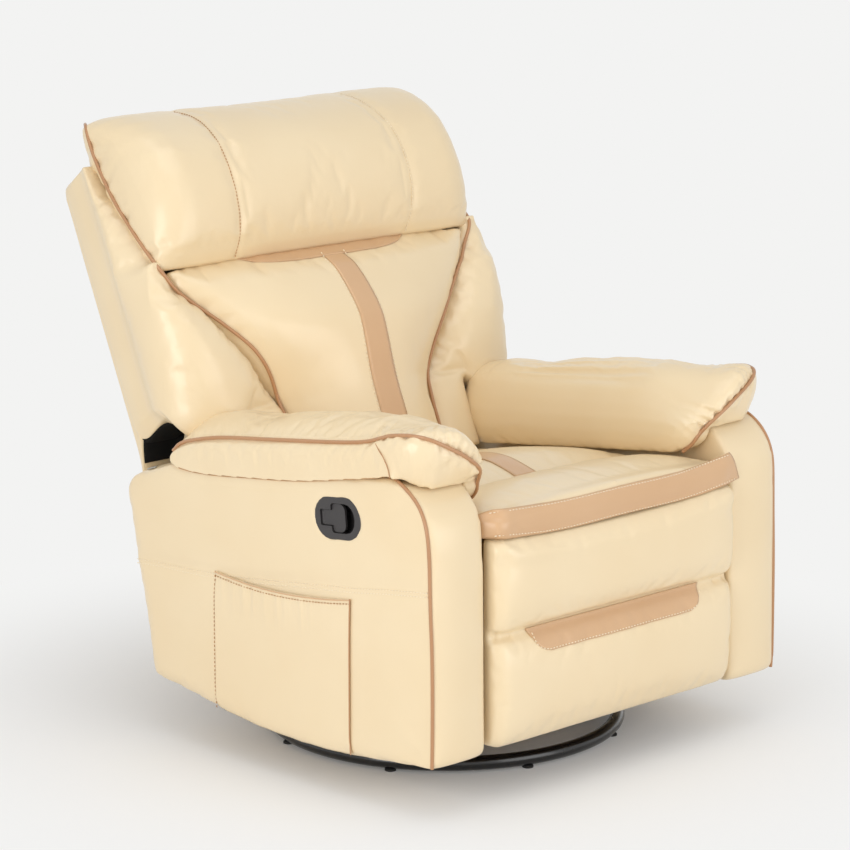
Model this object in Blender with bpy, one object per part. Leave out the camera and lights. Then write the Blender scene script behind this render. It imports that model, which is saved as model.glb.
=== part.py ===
"""Manual swivel rocker recliner with a pull handle, a fold-out footrest and a reclining back.

Metres, +Z up, and the sitter faces -Y, so the sitter's right is -X. Places are given from the swivel
axis on the floor, and one empty then moves the whole chair so that its box stands over the origin.
"""

import math

import bmesh
import bpy
from mathutils import Vector

# Clearances
GAP = 0.0003
SOFT_GAP = 0.0015
SWING_CLEARANCE = 0.001

# Ring base and its feet
RING_R = 0.305
RING_TUBE_R = 0.0125
FOOT_COUNT = 8
FOOT_TURN = math.radians(28)
FOOT_R = 0.010
FOOT_H = 0.004
BAR_W = 0.036
BAR_T = 0.006

# Swivel plates and bearing
SWIVEL_R = 0.105
SWIVEL_T = 0.004
BEARING_R = 0.080
BEARING_W = 0.016
BEARING_H = 0.008
KING_PIN_R = 0.010

# Rocker
ROCK_Z = 0.200
SHAFT_R = 0.009
SHAFT_END = 0.008
PEDESTAL_W = 0.090
PEDESTAL_D = 0.060
PEDESTAL_OVER_SHAFT = 0.025
SEAT_PLATE_DROP = 0.045
SEAT_PLATE_W = 0.060
SEAT_PLATE_T = 0.006
SEAT_PLATE_RIM = 0.008
ROCK_SPRING_Y = 0.075
ROCK_SPRING_R = 0.020
ROCK_SPRING_WIRE_R = 0.003
ROCK_SPRING_TURNS = 5
EAR_T = 0.005
EAR_R = 0.024
CROSS_SIZE = 0.025
CROSS_OVER_SHAFT = 0.075

# Arms: the arm's width and its side outline
ARM_W = 0.121
ARM_EDGE = 0.007
ARM_FRONT_Y = -0.403
ARM_FRONT_Z = 0.093
ARM_FRONT_R = 0.018
ARM_BELLY_Y = -0.060
ARM_BELLY_Z = 0.053
ARM_BELLY_R = 1.45
ARM_HEEL_Y = 0.300
ARM_HEEL_Z = 0.103
ARM_HEEL_R = 0.020
ARM_REAR_Y = 0.372
ARM_REAR_Z = 0.448
ARM_REAR_R = 0.040
ARM_STEP_Y = 0.246
ARM_STEP_Z = 0.494
ARM_STEP_R = 0.060
ARM_BROW_Y = -0.393
ARM_BROW_Z = 0.567
ARM_BROW_R = 0.100
ARM_FRAME_T = 0.018
ARM_FRAME_INSET = 0.042

# Arm pads
PAD_REAR_Y = 0.262
PAD_DRAPE_Y = 0.200
PAD_NOSE_Y = -0.357
PAD_H = 0.092
PAD_ROLL = 0.052
PAD_OVER_SEAT = 0.048
PAD_CREASE = 0.022
PAD_CREST = 0.035
PAD_LEAN = 0.35

# Seat box
RAIL_T = 0.018
RAIL_H = 0.120
RAIL_FRONT_Y = -0.345
RAIL_FRONT_Z = 0.443
RAIL_REAR_Y = 0.300
RAIL_REAR_Z = 0.333
END_RAIL_T = 0.018
FRONT_RAIL_H = 0.090
REAR_RAIL_H = 0.100
REAR_RAIL_Y = 0.270
SEAT_SPRING_XS = (-0.150, 0.0, 0.150)
SEAT_SPRING_WIRE_R = 0.002
SEAT_SPRING_SWING = 0.024
SEAT_SPRING_WAVES = 8
SPRING_UNDER_RAIL = 0.011

# Seat cushion
SEAT_HALF = 0.2965
SEAT_SIDE_GAP = 0.0035
SEAT_FRONT_Y = -0.412
SEAT_REAR_Y = 0.200
SEAT_LIP_Z = 0.4525
SEAT_LIP_REAR_Y = -0.352
SEAT_SIDE_FRONT_Z = 0.495
SEAT_SIDE_REAR_Z = 0.4194
SEAT_CROWN = 0.016
SEAT_CROWN_END = 0.84

# Reclining mechanism
MECH_T = 0.003
LINK_T = 0.004
LINK_W = 0.028
LINK_LENGTH = 0.220
RIVET_R = 0.005
RIVET_HEAD_R = 0.008
RIVET_HEAD_T = 0.002
SWING_Y = -0.250
SWING_Z = 0.330
SWING_REST = math.radians(-100)
CARRY_REST = math.radians(60)
TORQUE_R = 0.011
TORQUE_REACH = 0.070
DRIVE_SPRING_R = 0.009
DRIVE_SPRING_WIRE_R = 0.0016
DRIVE_SPRING_TURNS = 9
LATCH_Y = -0.165
LATCH_Z = 0.355

# Footrest
FOOT_SIDE_GAP = 0.006
FOOT_FRONT_Y = -0.424
FOOT_PAD_T = 0.048
FOOT_BOARD_T = 0.012
FOOT_BOARD_INSET = 0.024
FOOT_BOTTOM_Z = 0.097
FOOT_TOP_Z = 0.447
FOOT_CHANNEL_Z = 0.287
FOOT_CHANNEL_D = 0.015
BRACKET_FLANGE_T = 0.003
BRACKET_FLANGE_W = 0.022
BRACKET_H = 0.080

# Back, in its own plane: v runs up it from the recline pivot and w stands out of it to the front
PIVOT_Y = 0.250
PIVOT_Z = 0.400
LEAN = math.radians(24)
POST_T = 0.005
POST_W = 0.036
POST_LENGTH = 0.300
POST_SET_BACK = 0.044
BACK_OVER_ARM = 0.080
BACK_BOTTOM_V = 0.050
BACK_LEDGE_V = 0.140
LEDGE_LIP = 0.004
BACK_SEAM_V = 0.402
BACK_TOP_V = 0.705
BACK_SHOULDER_V = 0.612
BACK_FRAME_T = 0.073
BACK_STILE_W = 0.045
BACK_RAIL_W = 0.040
REAR_PANEL_T = 0.034
REAR_PANEL_R = 0.030
LUMBAR_EDGE_W = 0.088
LUMBAR_CROWN_W = 0.155
LUMBAR_IN_PADS = 0.082
LUMBAR_IN_BACK = 0.020
BOLSTER_LOW_W = 0.100
BOLSTER_W = 0.128
WING_W = 0.088
PILLOW_IN_BACK = 0.004
PILLOW_END_R = 0.068
PILLOW_W = 0.165
PILLOW_SWELL = ((0, 0.62), (0.12, 0.86), (0.36, 1.0), (0.66, 0.92), (0.88, 0.58), (0.99, 0.16),
                (0.97, -0.26), (0.86, -0.48), (0.74, -0.54))

# Handle in the right arm, in its own plane: a runs to the front and b up
HANDLE_Y = -0.183
HANDLE_Z = 0.472
HANDLE_TILT = math.radians(6)
HANDLE_L = 0.112
HANDLE_H = 0.072
HANDLE_R = 0.034
HANDLE_RIM_T = 0.003
CUP_L = 0.096
CUP_H = 0.062
CUP_R = 0.029
CUP_DEPTH = 0.026
CUP_WALL = 0.004
STEM_L = 0.026
STEM_H = 0.027
BLADE_L = 0.031
BLADE_H = 0.049
RECESS_L = 0.025
PADDLE_T = 0.004
HINGE_R = 0.0032
CABLE_R = 0.0028
CABLE_BORE_R = 0.005

# Side pocket on the right arm
POCKET_REAR_Y = 0.124
POCKET_FRONT_Y = -0.214
POCKET_TOP_Z = 0.325
POCKET_RISE = 0.017
POCKET_SLANT = 0.022
POCKET_OVER_BELLY = 0.010
POCKET_DEPTH = 0.0112
POCKET_SHEET = 0.0025
POCKET_HEM = 0.009

# Stacks that follow from the sizes above
RING_Z = FOOT_H + GAP + RING_TUBE_R
BAR_Z = RING_Z + RING_TUBE_R + GAP
LOWER_Z = BAR_Z + BAR_T + GAP
BEARING_Z = LOWER_Z + SWIVEL_T + GAP
UPPER_Z = BEARING_Z + BEARING_H + GAP
PEDESTAL_Z = UPPER_Z + SWIVEL_T + GAP
CROSS_Z = ROCK_Z + CROSS_OVER_SHAFT
ARM_IN = SEAT_HALF + SEAT_SIDE_GAP
ARM_OUT = ARM_IN + ARM_W
PAD_INNER_X = ARM_IN - PAD_OVER_SEAT
PAD_TOP_X = ARM_IN + PAD_CREST
FOOT_HALF = ARM_IN - FOOT_SIDE_GAP
BACK_HALF = ARM_IN + BACK_OVER_ARM
PILLOW_HALF = BACK_HALF - PILLOW_IN_BACK
LUMBAR_BOTTOM_X = PAD_INNER_X - LUMBAR_IN_PADS
LUMBAR_TOP_X = BACK_HALF - LUMBAR_IN_BACK
RAIL_X1 = ARM_IN - GAP
RAIL_X0 = RAIL_X1 - RAIL_T
MECH_X1 = RAIL_X0 - GAP
MECH_X0 = MECH_X1 - MECH_T
SWING_X1 = MECH_X0 - GAP
SWING_X0 = SWING_X1 - LINK_T
CARRY_X1 = SWING_X0 - GAP
CARRY_X0 = CARRY_X1 - LINK_T
BRACKET_X1 = CARRY_X0 - GAP
BRACKET_X0 = BRACKET_X1 - LINK_T
POST_X1 = MECH_X0 - GAP
POST_X0 = POST_X1 - POST_T
BACK_FRAME_HALF = POST_X0 - GAP
BOLSTER_REAR_X = POST_X1 + 2 * GAP
FOOT_BACK_Y = FOOT_FRONT_Y + FOOT_PAD_T
BOARD_Y = FOOT_BACK_Y + GAP
FLANGE_Y = BOARD_Y + FOOT_BOARD_T + GAP
SIDES = (("left", 1), ("right", -1))


# Helpers: outlines

def along(angle, reach):
    """A step in the side view (y, z); the angle runs from straight ahead upwards."""
    return Vector((-reach * math.cos(angle), reach * math.sin(angle)))


def rounded(corners, steps=5):
    """Outline through corners given as (a, b, radius), with an arc at each rounded one."""
    outline = []
    for i, (a, b, radius) in enumerate(corners):
        here = Vector((a, b))
        if radius == 0:
            outline.append(here)
            continue
        back = (Vector(corners[i - 1][:2]) - here).normalized()
        ahead = (Vector(corners[(i + 1) % len(corners)][:2]) - here).normalized()
        half = back.angle(ahead) / 2
        centre = here + (back + ahead).normalized() * (radius / math.sin(half))
        first = here + back * (radius / math.tan(half)) - centre
        last = here + ahead * (radius / math.tan(half)) - centre
        turn = math.atan2(first.cross(last), first.dot(last))
        start = math.atan2(first.y, first.x)
        for k in range(steps + 1):
            angle = start + turn * k / steps
            outline.append(centre + radius * Vector((math.cos(angle), math.sin(angle))))
    return outline


def capsule(p, q, radius, steps=6):
    """Bar with round ends from p to q."""
    run = (Vector(q) - Vector(p)).normalized()
    side = math.atan2(run.y, run.x) + math.pi / 2
    outline = []
    for centre, start in ((p, side), (q, side + math.pi)):
        for k in range(steps + 1):
            angle = start + math.pi * k / steps
            outline.append(Vector(centre) + radius * Vector((math.cos(angle), math.sin(angle))))
    return outline


def circle(centre, radius, steps=16):
    """Round outline."""
    turns = (2 * math.pi * k / steps for k in range(steps))
    return [Vector(centre) + radius * Vector((math.cos(t), math.sin(t))) for t in turns]


def smooth_run(points, steps=3):
    """Points on a smooth curve through the given ones."""
    points = [Vector(p) for p in points]
    padded = [2 * points[0] - points[1]] + points + [2 * points[-1] - points[-2]]
    run = []
    for a, b, c, d in zip(padded, padded[1:], padded[2:], padded[3:]):
        for k in range(steps):
            t = k / steps
            bend = 2 * a - 5 * b + 4 * c - d
            run.append(b + 0.5 * t * ((c - a) + t * (bend + t * (3 * b - a - 3 * c + d))))
    return run + [points[-1]]


def ease(t):
    """Smooth step from 0 to 1."""
    t = min(max(t, 0.0), 1.0)
    return t * t * (3 - 2 * t)


# Helpers: objects

def material(name, colour, roughness, metallic=0.0):
    """Plain finish of one kind of piece."""
    made = bpy.data.materials.new(name)
    made.use_nodes = True
    shader = made.node_tree.nodes["Principled BSDF"]
    shader.inputs["Base Color"].default_value = (*colour, 1.0)
    shader.inputs["Roughness"].default_value = roughness
    shader.inputs["Metallic"].default_value = metallic
    return made


def axis(name, place, parent=None):
    """Empty on a joint's axis."""
    empty = bpy.data.objects.new(name, None)
    bpy.context.scene.collection.objects.link(empty)
    empty["place"] = place
    empty.parent = parent
    origin = Vector(parent["place"]) if parent else Vector((0, 0, 0))
    empty.location = Vector(place) - origin
    return empty


def node(name, mesh, carrier, finish, smooth=True):
    """Object made from a bmesh in chair coordinates, carried by an axis."""
    bmesh.ops.recalc_face_normals(mesh, faces=mesh.faces)
    data = bpy.data.meshes.new(name)
    mesh.to_mesh(data)
    mesh.free()
    made = bpy.data.objects.new(name, data)
    bpy.context.scene.collection.objects.link(made)
    made.parent = carrier
    made.location = -Vector(carrier["place"])
    if finish:
        data.materials.append(finish)
    if smooth:
        data.shade_smooth()
        data.set_sharp_from_angle(angle=math.radians(35))
    return made


def helper(made):
    """Marks an object as a cutter or a joined piece, which is no node."""
    made.hide_render = True
    made.display_type = "WIRE"
    return made


def boolean(target, other, operation):
    """Cuts or joins another object, which becomes a helper."""
    modifier = target.modifiers.new(operation.lower(), "BOOLEAN")
    modifier.operation = operation
    modifier.object = helper(other)
    return target


def lofted(loops):
    """Mesh through loops of equal length, closed at both ends."""
    mesh = bmesh.new()
    rings = [[mesh.verts.new(point) for point in loop] for loop in loops]
    for ring, following in zip(rings, rings[1:]):
        for i, here in enumerate(ring):
            j = (i + 1) % len(ring)
            mesh.faces.new((here, ring[j], following[j], following[i]))
    mesh.faces.new(rings[0])
    mesh.faces.new(rings[-1])
    return mesh


def side_prism(outline, x0, x1):
    """Mesh of a side-view outline (y, z) between two places across the chair."""
    return lofted([[(x, p[0], p[1]) for p in outline] for x in (x0, x1)])


def turned(profile, steps=32):
    """Mesh turned about the swivel axis from a closed (r, z) profile, none of it on the axis."""
    mesh = bmesh.new()
    verts = [mesh.verts.new((r, 0, z)) for r, z in profile]
    edges = [mesh.edges.new((verts[i - 1], verts[i])) for i in range(len(verts))]
    bmesh.ops.spin(mesh, geom=verts + edges, cent=(0, 0, 0), axis=(0, 0, 1),
                   angle=2 * math.pi, steps=steps, use_merge=True)
    return mesh


def disc(radius, z0, z1, steps=32):
    """Mesh of a round plate on the swivel axis."""
    return lofted([[(p.x, p.y, z) for p in circle((0, 0), radius, steps)] for z in (z0, z1)])


def block(low, high):
    """Mesh of a box."""
    corners = ((low[0], low[1]), (high[0], low[1]), (high[0], high[1]), (low[0], high[1]))
    return lofted([[(x, y, z) for x, y in corners] for z in (low[2], high[2])])


def wire(name, points, radius, carrier, finish, resolution=0):
    """Tube along points in chair coordinates."""
    data = bpy.data.curves.new(name, "CURVE")
    data.dimensions = "3D"
    data.bevel_depth = radius
    data.bevel_resolution = resolution
    data.use_fill_caps = True
    spline = data.splines.new("POLY")
    spline.points.add(len(points) - 1)
    for target, point in zip(spline.points, points):
        target.co = (*point, 1.0)
    data.materials.append(finish)
    made = bpy.data.objects.new(name, data)
    bpy.context.scene.collection.objects.link(made)
    made.parent = carrier
    made.location = -Vector(carrier["place"])
    return made


def rivet(side, at, start, shank_end, carrier):
    """Stepped pin across the chair: a shank and, past the piece it holds, a head."""
    steps = ((start, RIVET_R), (shank_end, RIVET_R), (shank_end, RIVET_HEAD_R),
             (shank_end - RIVET_HEAD_T, RIVET_HEAD_R))
    loops = [[(side * x, p.x, p.y) for p in circle(at, r, 12)] for x, r in steps]
    return node("rivet", lofted(loops), carrier, None)


def bore(side, at, radius, x0, x1, carrier):
    """Round cutter across the chair."""
    reach = SWING_CLEARANCE
    return node("bore", side_prism(circle(at, radius, 16), side * (x0 - reach), side * (x1 + reach)),
                carrier, None)


# The back's own plane

def back_point(u, v, w):
    """Point of the chair from the back's own coordinates."""
    y = PIVOT_Y + v * math.sin(LEAN) - w * math.cos(LEAN)
    return Vector((u, y, PIVOT_Z + v * math.cos(LEAN) + w * math.sin(LEAN)))


def wing_w(v):
    """How far the sides of the back stand out beside the pillow, less towards the top."""
    share = (v - BACK_SEAM_V) / (BACK_SHOULDER_V - BACK_SEAM_V)
    return WING_W * (1 - min(max(share, 0), 1)) ** 1.3


def pillow_loop(x, beside):
    """Section of the head pillow, which wraps over the frame's top and lies on the sides of the back."""
    over = max(abs(x) - (PILLOW_HALF - PILLOW_END_R), 0) / PILLOW_END_R
    full = 0.40 + 0.60 * math.sqrt(max(1 - over * over, 0))
    rise = BACK_TOP_V - BACK_SEAM_V
    low = BACK_SEAM_V + SOFT_GAP
    shoulder = BACK_SHOULDER_V + SOFT_GAP

    def rear(v):
        return wing_w(v) + SOFT_GAP if beside else GAP

    front = []
    for share, depth in PILLOW_SWELL:
        v = low + share * rise * (0.93 + 0.07 * full)
        if depth > 0:
            front.append((v, rear(v) + (GAP + depth * PILLOW_W - rear(v)) * full))
        else:
            front.append((max(v, shoulder), depth * PILLOW_W * (0.25 + 0.75 * full)))
    loop = [(low, rear(low))] + [tuple(p) for p in smooth_run(front, 2)]
    loop = [(max(v, shoulder) if w < 0 else v, w) for v, w in loop]
    loop.append((shoulder, loop[-1][1] / 2))
    loop += [(v, rear(v)) for v in (shoulder, shoulder - 0.3 * rise, shoulder - 0.5 * rise)]
    return [back_point(x, v, w) for v, w in loop]


def pillow_stations():
    """Places across the chair where the pillow's section is drawn, closer at its round ends."""
    step = BOLSTER_REAR_X - GAP
    half = [(PILLOW_HALF * share, True) for share in (1.0, 0.985, 0.95, 0.89, 0.82)]
    half += [(step, True), (step - 0.004, False)] + [(PILLOW_HALF * share, False) for share in (0.6, 0.36, 0.12)]
    return [(-x, beside) for x, beside in half] + half[::-1]


PILLOW_LOOPS = [pillow_loop(*station) for station in pillow_stations()]
PANEL_W = -BACK_FRAME_T - GAP
PANEL_REAR_Y = back_point(0, BACK_SHOULDER_V, PANEL_W - REAR_PANEL_T).y
REAR_Y = max([point.y for loop in PILLOW_LOOPS for point in loop] + [PANEL_REAR_Y])
ROOT_Y = -(FOOT_FRONT_Y + REAR_Y) / 2

for old in list(bpy.data.objects):
    bpy.data.objects.remove(old)

# Finishes
LEATHER = material("cream_leather", (0.79, 0.62, 0.38), 0.45)
BLACK_STEEL = material("black_steel", (0.012, 0.012, 0.013), 0.25, 0.6)
STEEL = material("zinc_steel", (0.45, 0.45, 0.46), 0.4, 1.0)
WOOD = material("plywood", (0.55, 0.38, 0.22), 0.7)
PLASTIC = material("black_plastic", (0.035, 0.034, 0.035), 0.5)
RUBBER = material("black_rubber", (0.02, 0.02, 0.02), 0.8)

# Axes of the joints
SWING_PIVOT = Vector((SWING_Y, SWING_Z))
ELBOW = SWING_PIVOT + along(SWING_REST, LINK_LENGTH)
ANKLE = ELBOW + along(CARRY_REST, LINK_LENGTH)
PIVOT = Vector((PIVOT_Y, PIVOT_Z))
LATCH = Vector((LATCH_Y, LATCH_Z))


def handle_point(a, b):
    """Side-view place (y, z) from the handle's own plane."""
    ahead = along(HANDLE_TILT, a)
    return Vector((HANDLE_Y, HANDLE_Z)) + ahead + along(HANDLE_TILT + math.pi / 2, b)


PADDLE_MID = (BLADE_L + RECESS_L - STEM_L) / 2
HINGE_A = -PADDLE_MID - STEM_L + HINGE_R + SWING_CLEARANCE
HINGE = handle_point(HINGE_A, 0)
HINGE_X = -ARM_OUT + PADDLE_T / 2

root = axis("chair_root", (0, 0, 0))
root.location.y = ROOT_Y
base = axis("base_axis", (0, 0, RING_Z), root)
swivel = axis("swivel_axis", (0, 0, UPPER_Z), base)
rock = axis("rock_axis", (0, 0, ROCK_Z), swivel)
recline = axis("recline_axis", (0, PIVOT_Y, PIVOT_Z), rock)
swing = axis("swing_axis", (0, *SWING_PIVOT), rock)
carry = axis("carry_axis", (0, *ELBOW), swing)
foot = axis("footrest_axis", (0, *ANKLE), carry)
lever = axis("lever_axis", (HINGE_X, *HINGE), rock)
latch = axis("latch_axis", (0, *LATCH), rock)

# Ring base: steel tube ring, crossed bars on it and feet under it
ring_mesh = bmesh.new()
section = [ring_mesh.verts.new((RING_R + p.x, 0, RING_Z + p.y)) for p in circle((0, 0), RING_TUBE_R, 12)]
section_edges = [ring_mesh.edges.new((section[i - 1], section[i])) for i in range(len(section))]
bmesh.ops.spin(ring_mesh, geom=section + section_edges, cent=(0, 0, 0), axis=(0, 0, 1),
               angle=2 * math.pi, steps=40, use_merge=True)
node("base_ring", ring_mesh, base, BLACK_STEEL)

cross = [node("bar", block((-RING_R, -BAR_W / 2, BAR_Z), (RING_R, BAR_W / 2, BAR_Z + BAR_T)), base, BLACK_STEEL, False)
         for _ in range(2)]
for bar, turn in zip(cross, (45, 135)):
    bar.data.transform(bar.matrix_basis.Rotation(math.radians(turn), 4, "Z"))
cross[0].name = "base_cross_bars"
boolean(cross[0], cross[1], "UNION")

for i in range(FOOT_COUNT):
    turn = FOOT_TURN + 2 * math.pi * i / FOOT_COUNT
    spot = (RING_R * math.cos(turn), RING_R * math.sin(turn))
    loops = [[(p.x, p.y, z) for p in circle(spot, FOOT_R, 12)] for z in (0, FOOT_H)]
    node(f"base_foot_{i + 1}", lofted(loops), base, RUBBER)

# Swivel: lower plate with the king pin, ball bearing ring, upper plate
lower = node("swivel_lower_plate", disc(SWIVEL_R, LOWER_Z, LOWER_Z + SWIVEL_T), base, BLACK_STEEL)
king_pin = node("king_pin", disc(KING_PIN_R, LOWER_Z + SWIVEL_T / 2, UPPER_Z + SWIVEL_T, 16), base, BLACK_STEEL)
boolean(lower, king_pin, "UNION")
bearing_in = BEARING_R - BEARING_W / 2
bearing_out = BEARING_R + BEARING_W / 2
node("swivel_bearing", turned(((bearing_in, BEARING_Z), (bearing_out, BEARING_Z),
                               (bearing_out, BEARING_Z + BEARING_H), (bearing_in, BEARING_Z + BEARING_H))),
     swivel, STEEL)
hole_r = KING_PIN_R + GAP
node("swivel_upper_plate", turned(((hole_r, UPPER_Z), (SWIVEL_R, UPPER_Z), (SWIVEL_R, UPPER_Z + SWIVEL_T),
                                   (hole_r, UPPER_Z + SWIVEL_T))), swivel, BLACK_STEEL)

# Rocker: pedestal with spring seats, shaft, ears and cross tubes of the seat, springs
half_w = PEDESTAL_W / 2
pedestal = node("rocker_pedestal", block((-half_w, -PEDESTAL_D / 2, PEDESTAL_Z),
                                         (half_w, PEDESTAL_D / 2, ROCK_Z + PEDESTAL_OVER_SHAFT)),
                swivel, BLACK_STEEL, False)
seat_reach = ROCK_SPRING_Y + ROCK_SPRING_R + SEAT_PLATE_RIM
plate_z = ROCK_Z - SEAT_PLATE_DROP
boolean(pedestal, node("spring_plate", block((-SEAT_PLATE_W / 2, -seat_reach, plate_z - SEAT_PLATE_T),
                                             (SEAT_PLATE_W / 2, seat_reach, plate_z)), swivel, None, False), "UNION")
ROCKER = Vector((0, ROCK_Z))
boolean(pedestal, bore(1, ROCKER, SHAFT_R + GAP, -half_w, half_w, swivel), "DIFFERENCE")
ear_x0 = half_w + SWING_CLEARANCE
shaft_end = ear_x0 + EAR_T + SHAFT_END
node("rocker_shaft", side_prism(circle(ROCKER, SHAFT_R, 16), -shaft_end, shaft_end), swivel, STEEL)
for name, side in SIDES:
    reach = ROCK_SPRING_Y + CROSS_SIZE / 2
    ear_top = CROSS_Z - GAP
    outline = rounded(((-reach, ear_top, 0), (-EAR_R, ROCK_Z - EAR_R, EAR_R * 0.8),
                       (EAR_R, ROCK_Z - EAR_R, EAR_R * 0.8), (reach, ear_top, 0)))
    ear = node(f"rocker_ear_{name}", side_prism(outline, side * ear_x0, side * (ear_x0 + EAR_T)), rock, BLACK_STEEL)
    boolean(ear, bore(side, ROCKER, SHAFT_R + GAP, ear_x0, ear_x0 + EAR_T, rock), "DIFFERENCE")
for name, toward in (("front", -1), ("rear", 1)):
    middle = toward * ROCK_SPRING_Y
    node(f"cross_tube_{name}", block((-RAIL_X0 + GAP, middle - CROSS_SIZE / 2, CROSS_Z),
                                     (RAIL_X0 - GAP, middle + CROSS_SIZE / 2, CROSS_Z + CROSS_SIZE)),
         rock, BLACK_STEEL, False)
    low = plate_z + ROCK_SPRING_WIRE_R + GAP
    rise = CROSS_Z - ROCK_SPRING_WIRE_R - GAP - low
    count = ROCK_SPRING_TURNS * 9
    points = [(ROCK_SPRING_R * math.cos(2 * math.pi * k / 9), middle + ROCK_SPRING_R * math.sin(2 * math.pi * k / 9),
               low + rise * k / count) for k in range(count + 1)]
    wire(f"rocker_spring_{name}", points, ROCK_SPRING_WIRE_R, swivel, STEEL)

# Seat box: side rails that slope down to the rear, end rails and zigzag springs


def rail_top(y):
    """Height of the side rails' top edge."""
    share = (y - RAIL_FRONT_Y) / (RAIL_REAR_Y - RAIL_FRONT_Y)
    return RAIL_FRONT_Z + share * (RAIL_REAR_Z - RAIL_FRONT_Z)


CABLE_Y = LATCH_Y
CABLE_END = Vector((-MECH_X0 - 0.68 * CABLE_R, CABLE_Y, LATCH_Z + 0.032))
CABLE_START = Vector((-ARM_OUT + CUP_DEPTH + 2 * CABLE_R, HANDLE_Y, HANDLE_Z))


def cable_bore(carrier):
    """Round cutter along the release cable."""
    run = (CABLE_END - CABLE_START).normalized()
    across = run.cross(Vector((0, 0, 1))).normalized()
    rise = across.cross(run)
    ends = (CABLE_START - run * 0.02, CABLE_END + run * 0.02)
    loops = [[end + across * p.x + rise * p.y for p in circle((0, 0), CABLE_BORE_R, 12)] for end in ends]
    return node("cable_bore", lofted(loops), carrier, None)


for name, side in SIDES:
    outline = ((RAIL_FRONT_Y, RAIL_FRONT_Z), (RAIL_FRONT_Y, RAIL_FRONT_Z - RAIL_H),
               (RAIL_REAR_Y, RAIL_REAR_Z - RAIL_H), (RAIL_REAR_Y, RAIL_REAR_Z))
    rail = node(f"side_rail_{name}", side_prism(outline, side * RAIL_X0, side * RAIL_X1), rock, WOOD, False)
    if side < 0:
        boolean(rail, cable_bore(rock), "DIFFERENCE")
end_half = RAIL_X0 - GAP
front_y = RAIL_FRONT_Y + SWING_CLEARANCE
front_top = rail_top(front_y) - SPRING_UNDER_RAIL
node("front_rail", block((-end_half, front_y, front_top - FRONT_RAIL_H),
                         (end_half, front_y + END_RAIL_T, front_top)), rock, WOOD, False)
rear_top = rail_top(REAR_RAIL_Y) - SPRING_UNDER_RAIL
rear_half = MECH_X0 - GAP
node("rear_rail", block((-rear_half, REAR_RAIL_Y, rear_top - REAR_RAIL_H),
                        (rear_half, REAR_RAIL_Y + END_RAIL_T, rear_top)), rock, WOOD, False)
slope = (RAIL_FRONT_Z - RAIL_REAR_Z) / (RAIL_REAR_Y - RAIL_FRONT_Y)
lift = 1.3 * GAP + SEAT_SPRING_WIRE_R + slope * END_RAIL_T / 2
first = Vector((front_y + END_RAIL_T / 2, front_top + lift))
last = Vector((REAR_RAIL_Y + END_RAIL_T / 2, rear_top + lift))
for i, x in enumerate(SEAT_SPRING_XS):
    count = SEAT_SPRING_WAVES * 6
    points = []
    for k in range(count + 1):
        place = first.lerp(last, k / count)
        points.append((x + SEAT_SPRING_SWING * math.sin(2 * math.pi * k / 6), *place))
    wire(f"seat_spring_{i + 1}", points, SEAT_SPRING_WIRE_R, rock, STEEL)

# Arms: upholstered body with a slot for its plywood frame, open at the bottom
ARM_OUTLINE = rounded((
    (ARM_FRONT_Y, ARM_FRONT_Z, ARM_FRONT_R), (ARM_BELLY_Y, ARM_BELLY_Z, ARM_BELLY_R),
    (ARM_HEEL_Y, ARM_HEEL_Z, ARM_HEEL_R), (ARM_REAR_Y, ARM_REAR_Z, ARM_REAR_R),
    (ARM_STEP_Y, ARM_STEP_Z, ARM_STEP_R), (ARM_BROW_Y, ARM_BROW_Z, ARM_BROW_R)), 7)


def arm_heights(y):
    """Heights where the arm's side outline crosses a place along the chair."""
    found = []
    for p, q in zip(ARM_OUTLINE, ARM_OUTLINE[1:] + ARM_OUTLINE[:1]):
        if min(p.x, q.x) <= y <= max(p.x, q.x) and p.x != q.x:
            found.append(p.y + (q.y - p.y) * (y - p.x) / (q.x - p.x))
    return found


def inset_outline(outline, depth):
    """Outline moved inwards by a small depth."""
    moved = []
    for before, here, after in zip([outline[-1]] + outline, outline, outline[1:] + outline[:1]):
        run = (after - before).normalized()
        moved.append(here + depth * Vector((-run.y, run.x)))
    return moved


def handle_outline(length, height, radius, lengthen=0.0):
    """Rounded plate outline in the side view, in the handle's own plane."""
    half_l = length / 2 + lengthen
    half_h = height / 2 + lengthen
    corners = ((-half_l, -half_h), (half_l, -half_h), (half_l, half_h), (-half_l, half_h))
    return [handle_point(p.x, p.y) for p in rounded([(a, b, radius) for a, b in corners])]


FRAME_FOOT_Z = max(ARM_FRONT_Z, ARM_HEEL_Z) + SOFT_GAP


def arm_frame_outline(grow, foot_z):
    """Plywood panel inside the arm, or its slot."""
    d = ARM_FRAME_INSET - grow
    brow_y = ARM_BROW_Y + ARM_BROW_R
    return [Vector(p) for p in (
        (ARM_FRONT_Y + d, foot_z), (ARM_HEEL_Y - d, foot_z), (ARM_HEEL_Y - d, FRAME_FOOT_Z),
        (ARM_REAR_Y - 1.2 * d, ARM_REAR_Z - d), (ARM_STEP_Y - d, ARM_STEP_Z - d),
        (brow_y, arm_top_line(brow_y) - d), (ARM_FRONT_Y + d, ARM_BROW_Z - ARM_BROW_R))]


def arm_top_line(y):
    """Height of the arm's straight top edge, carried on to the front."""
    share = (y - ARM_STEP_Y) / (ARM_BROW_Y - ARM_STEP_Y)
    return ARM_STEP_Z + share * (ARM_BROW_Z - ARM_STEP_Z)


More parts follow.
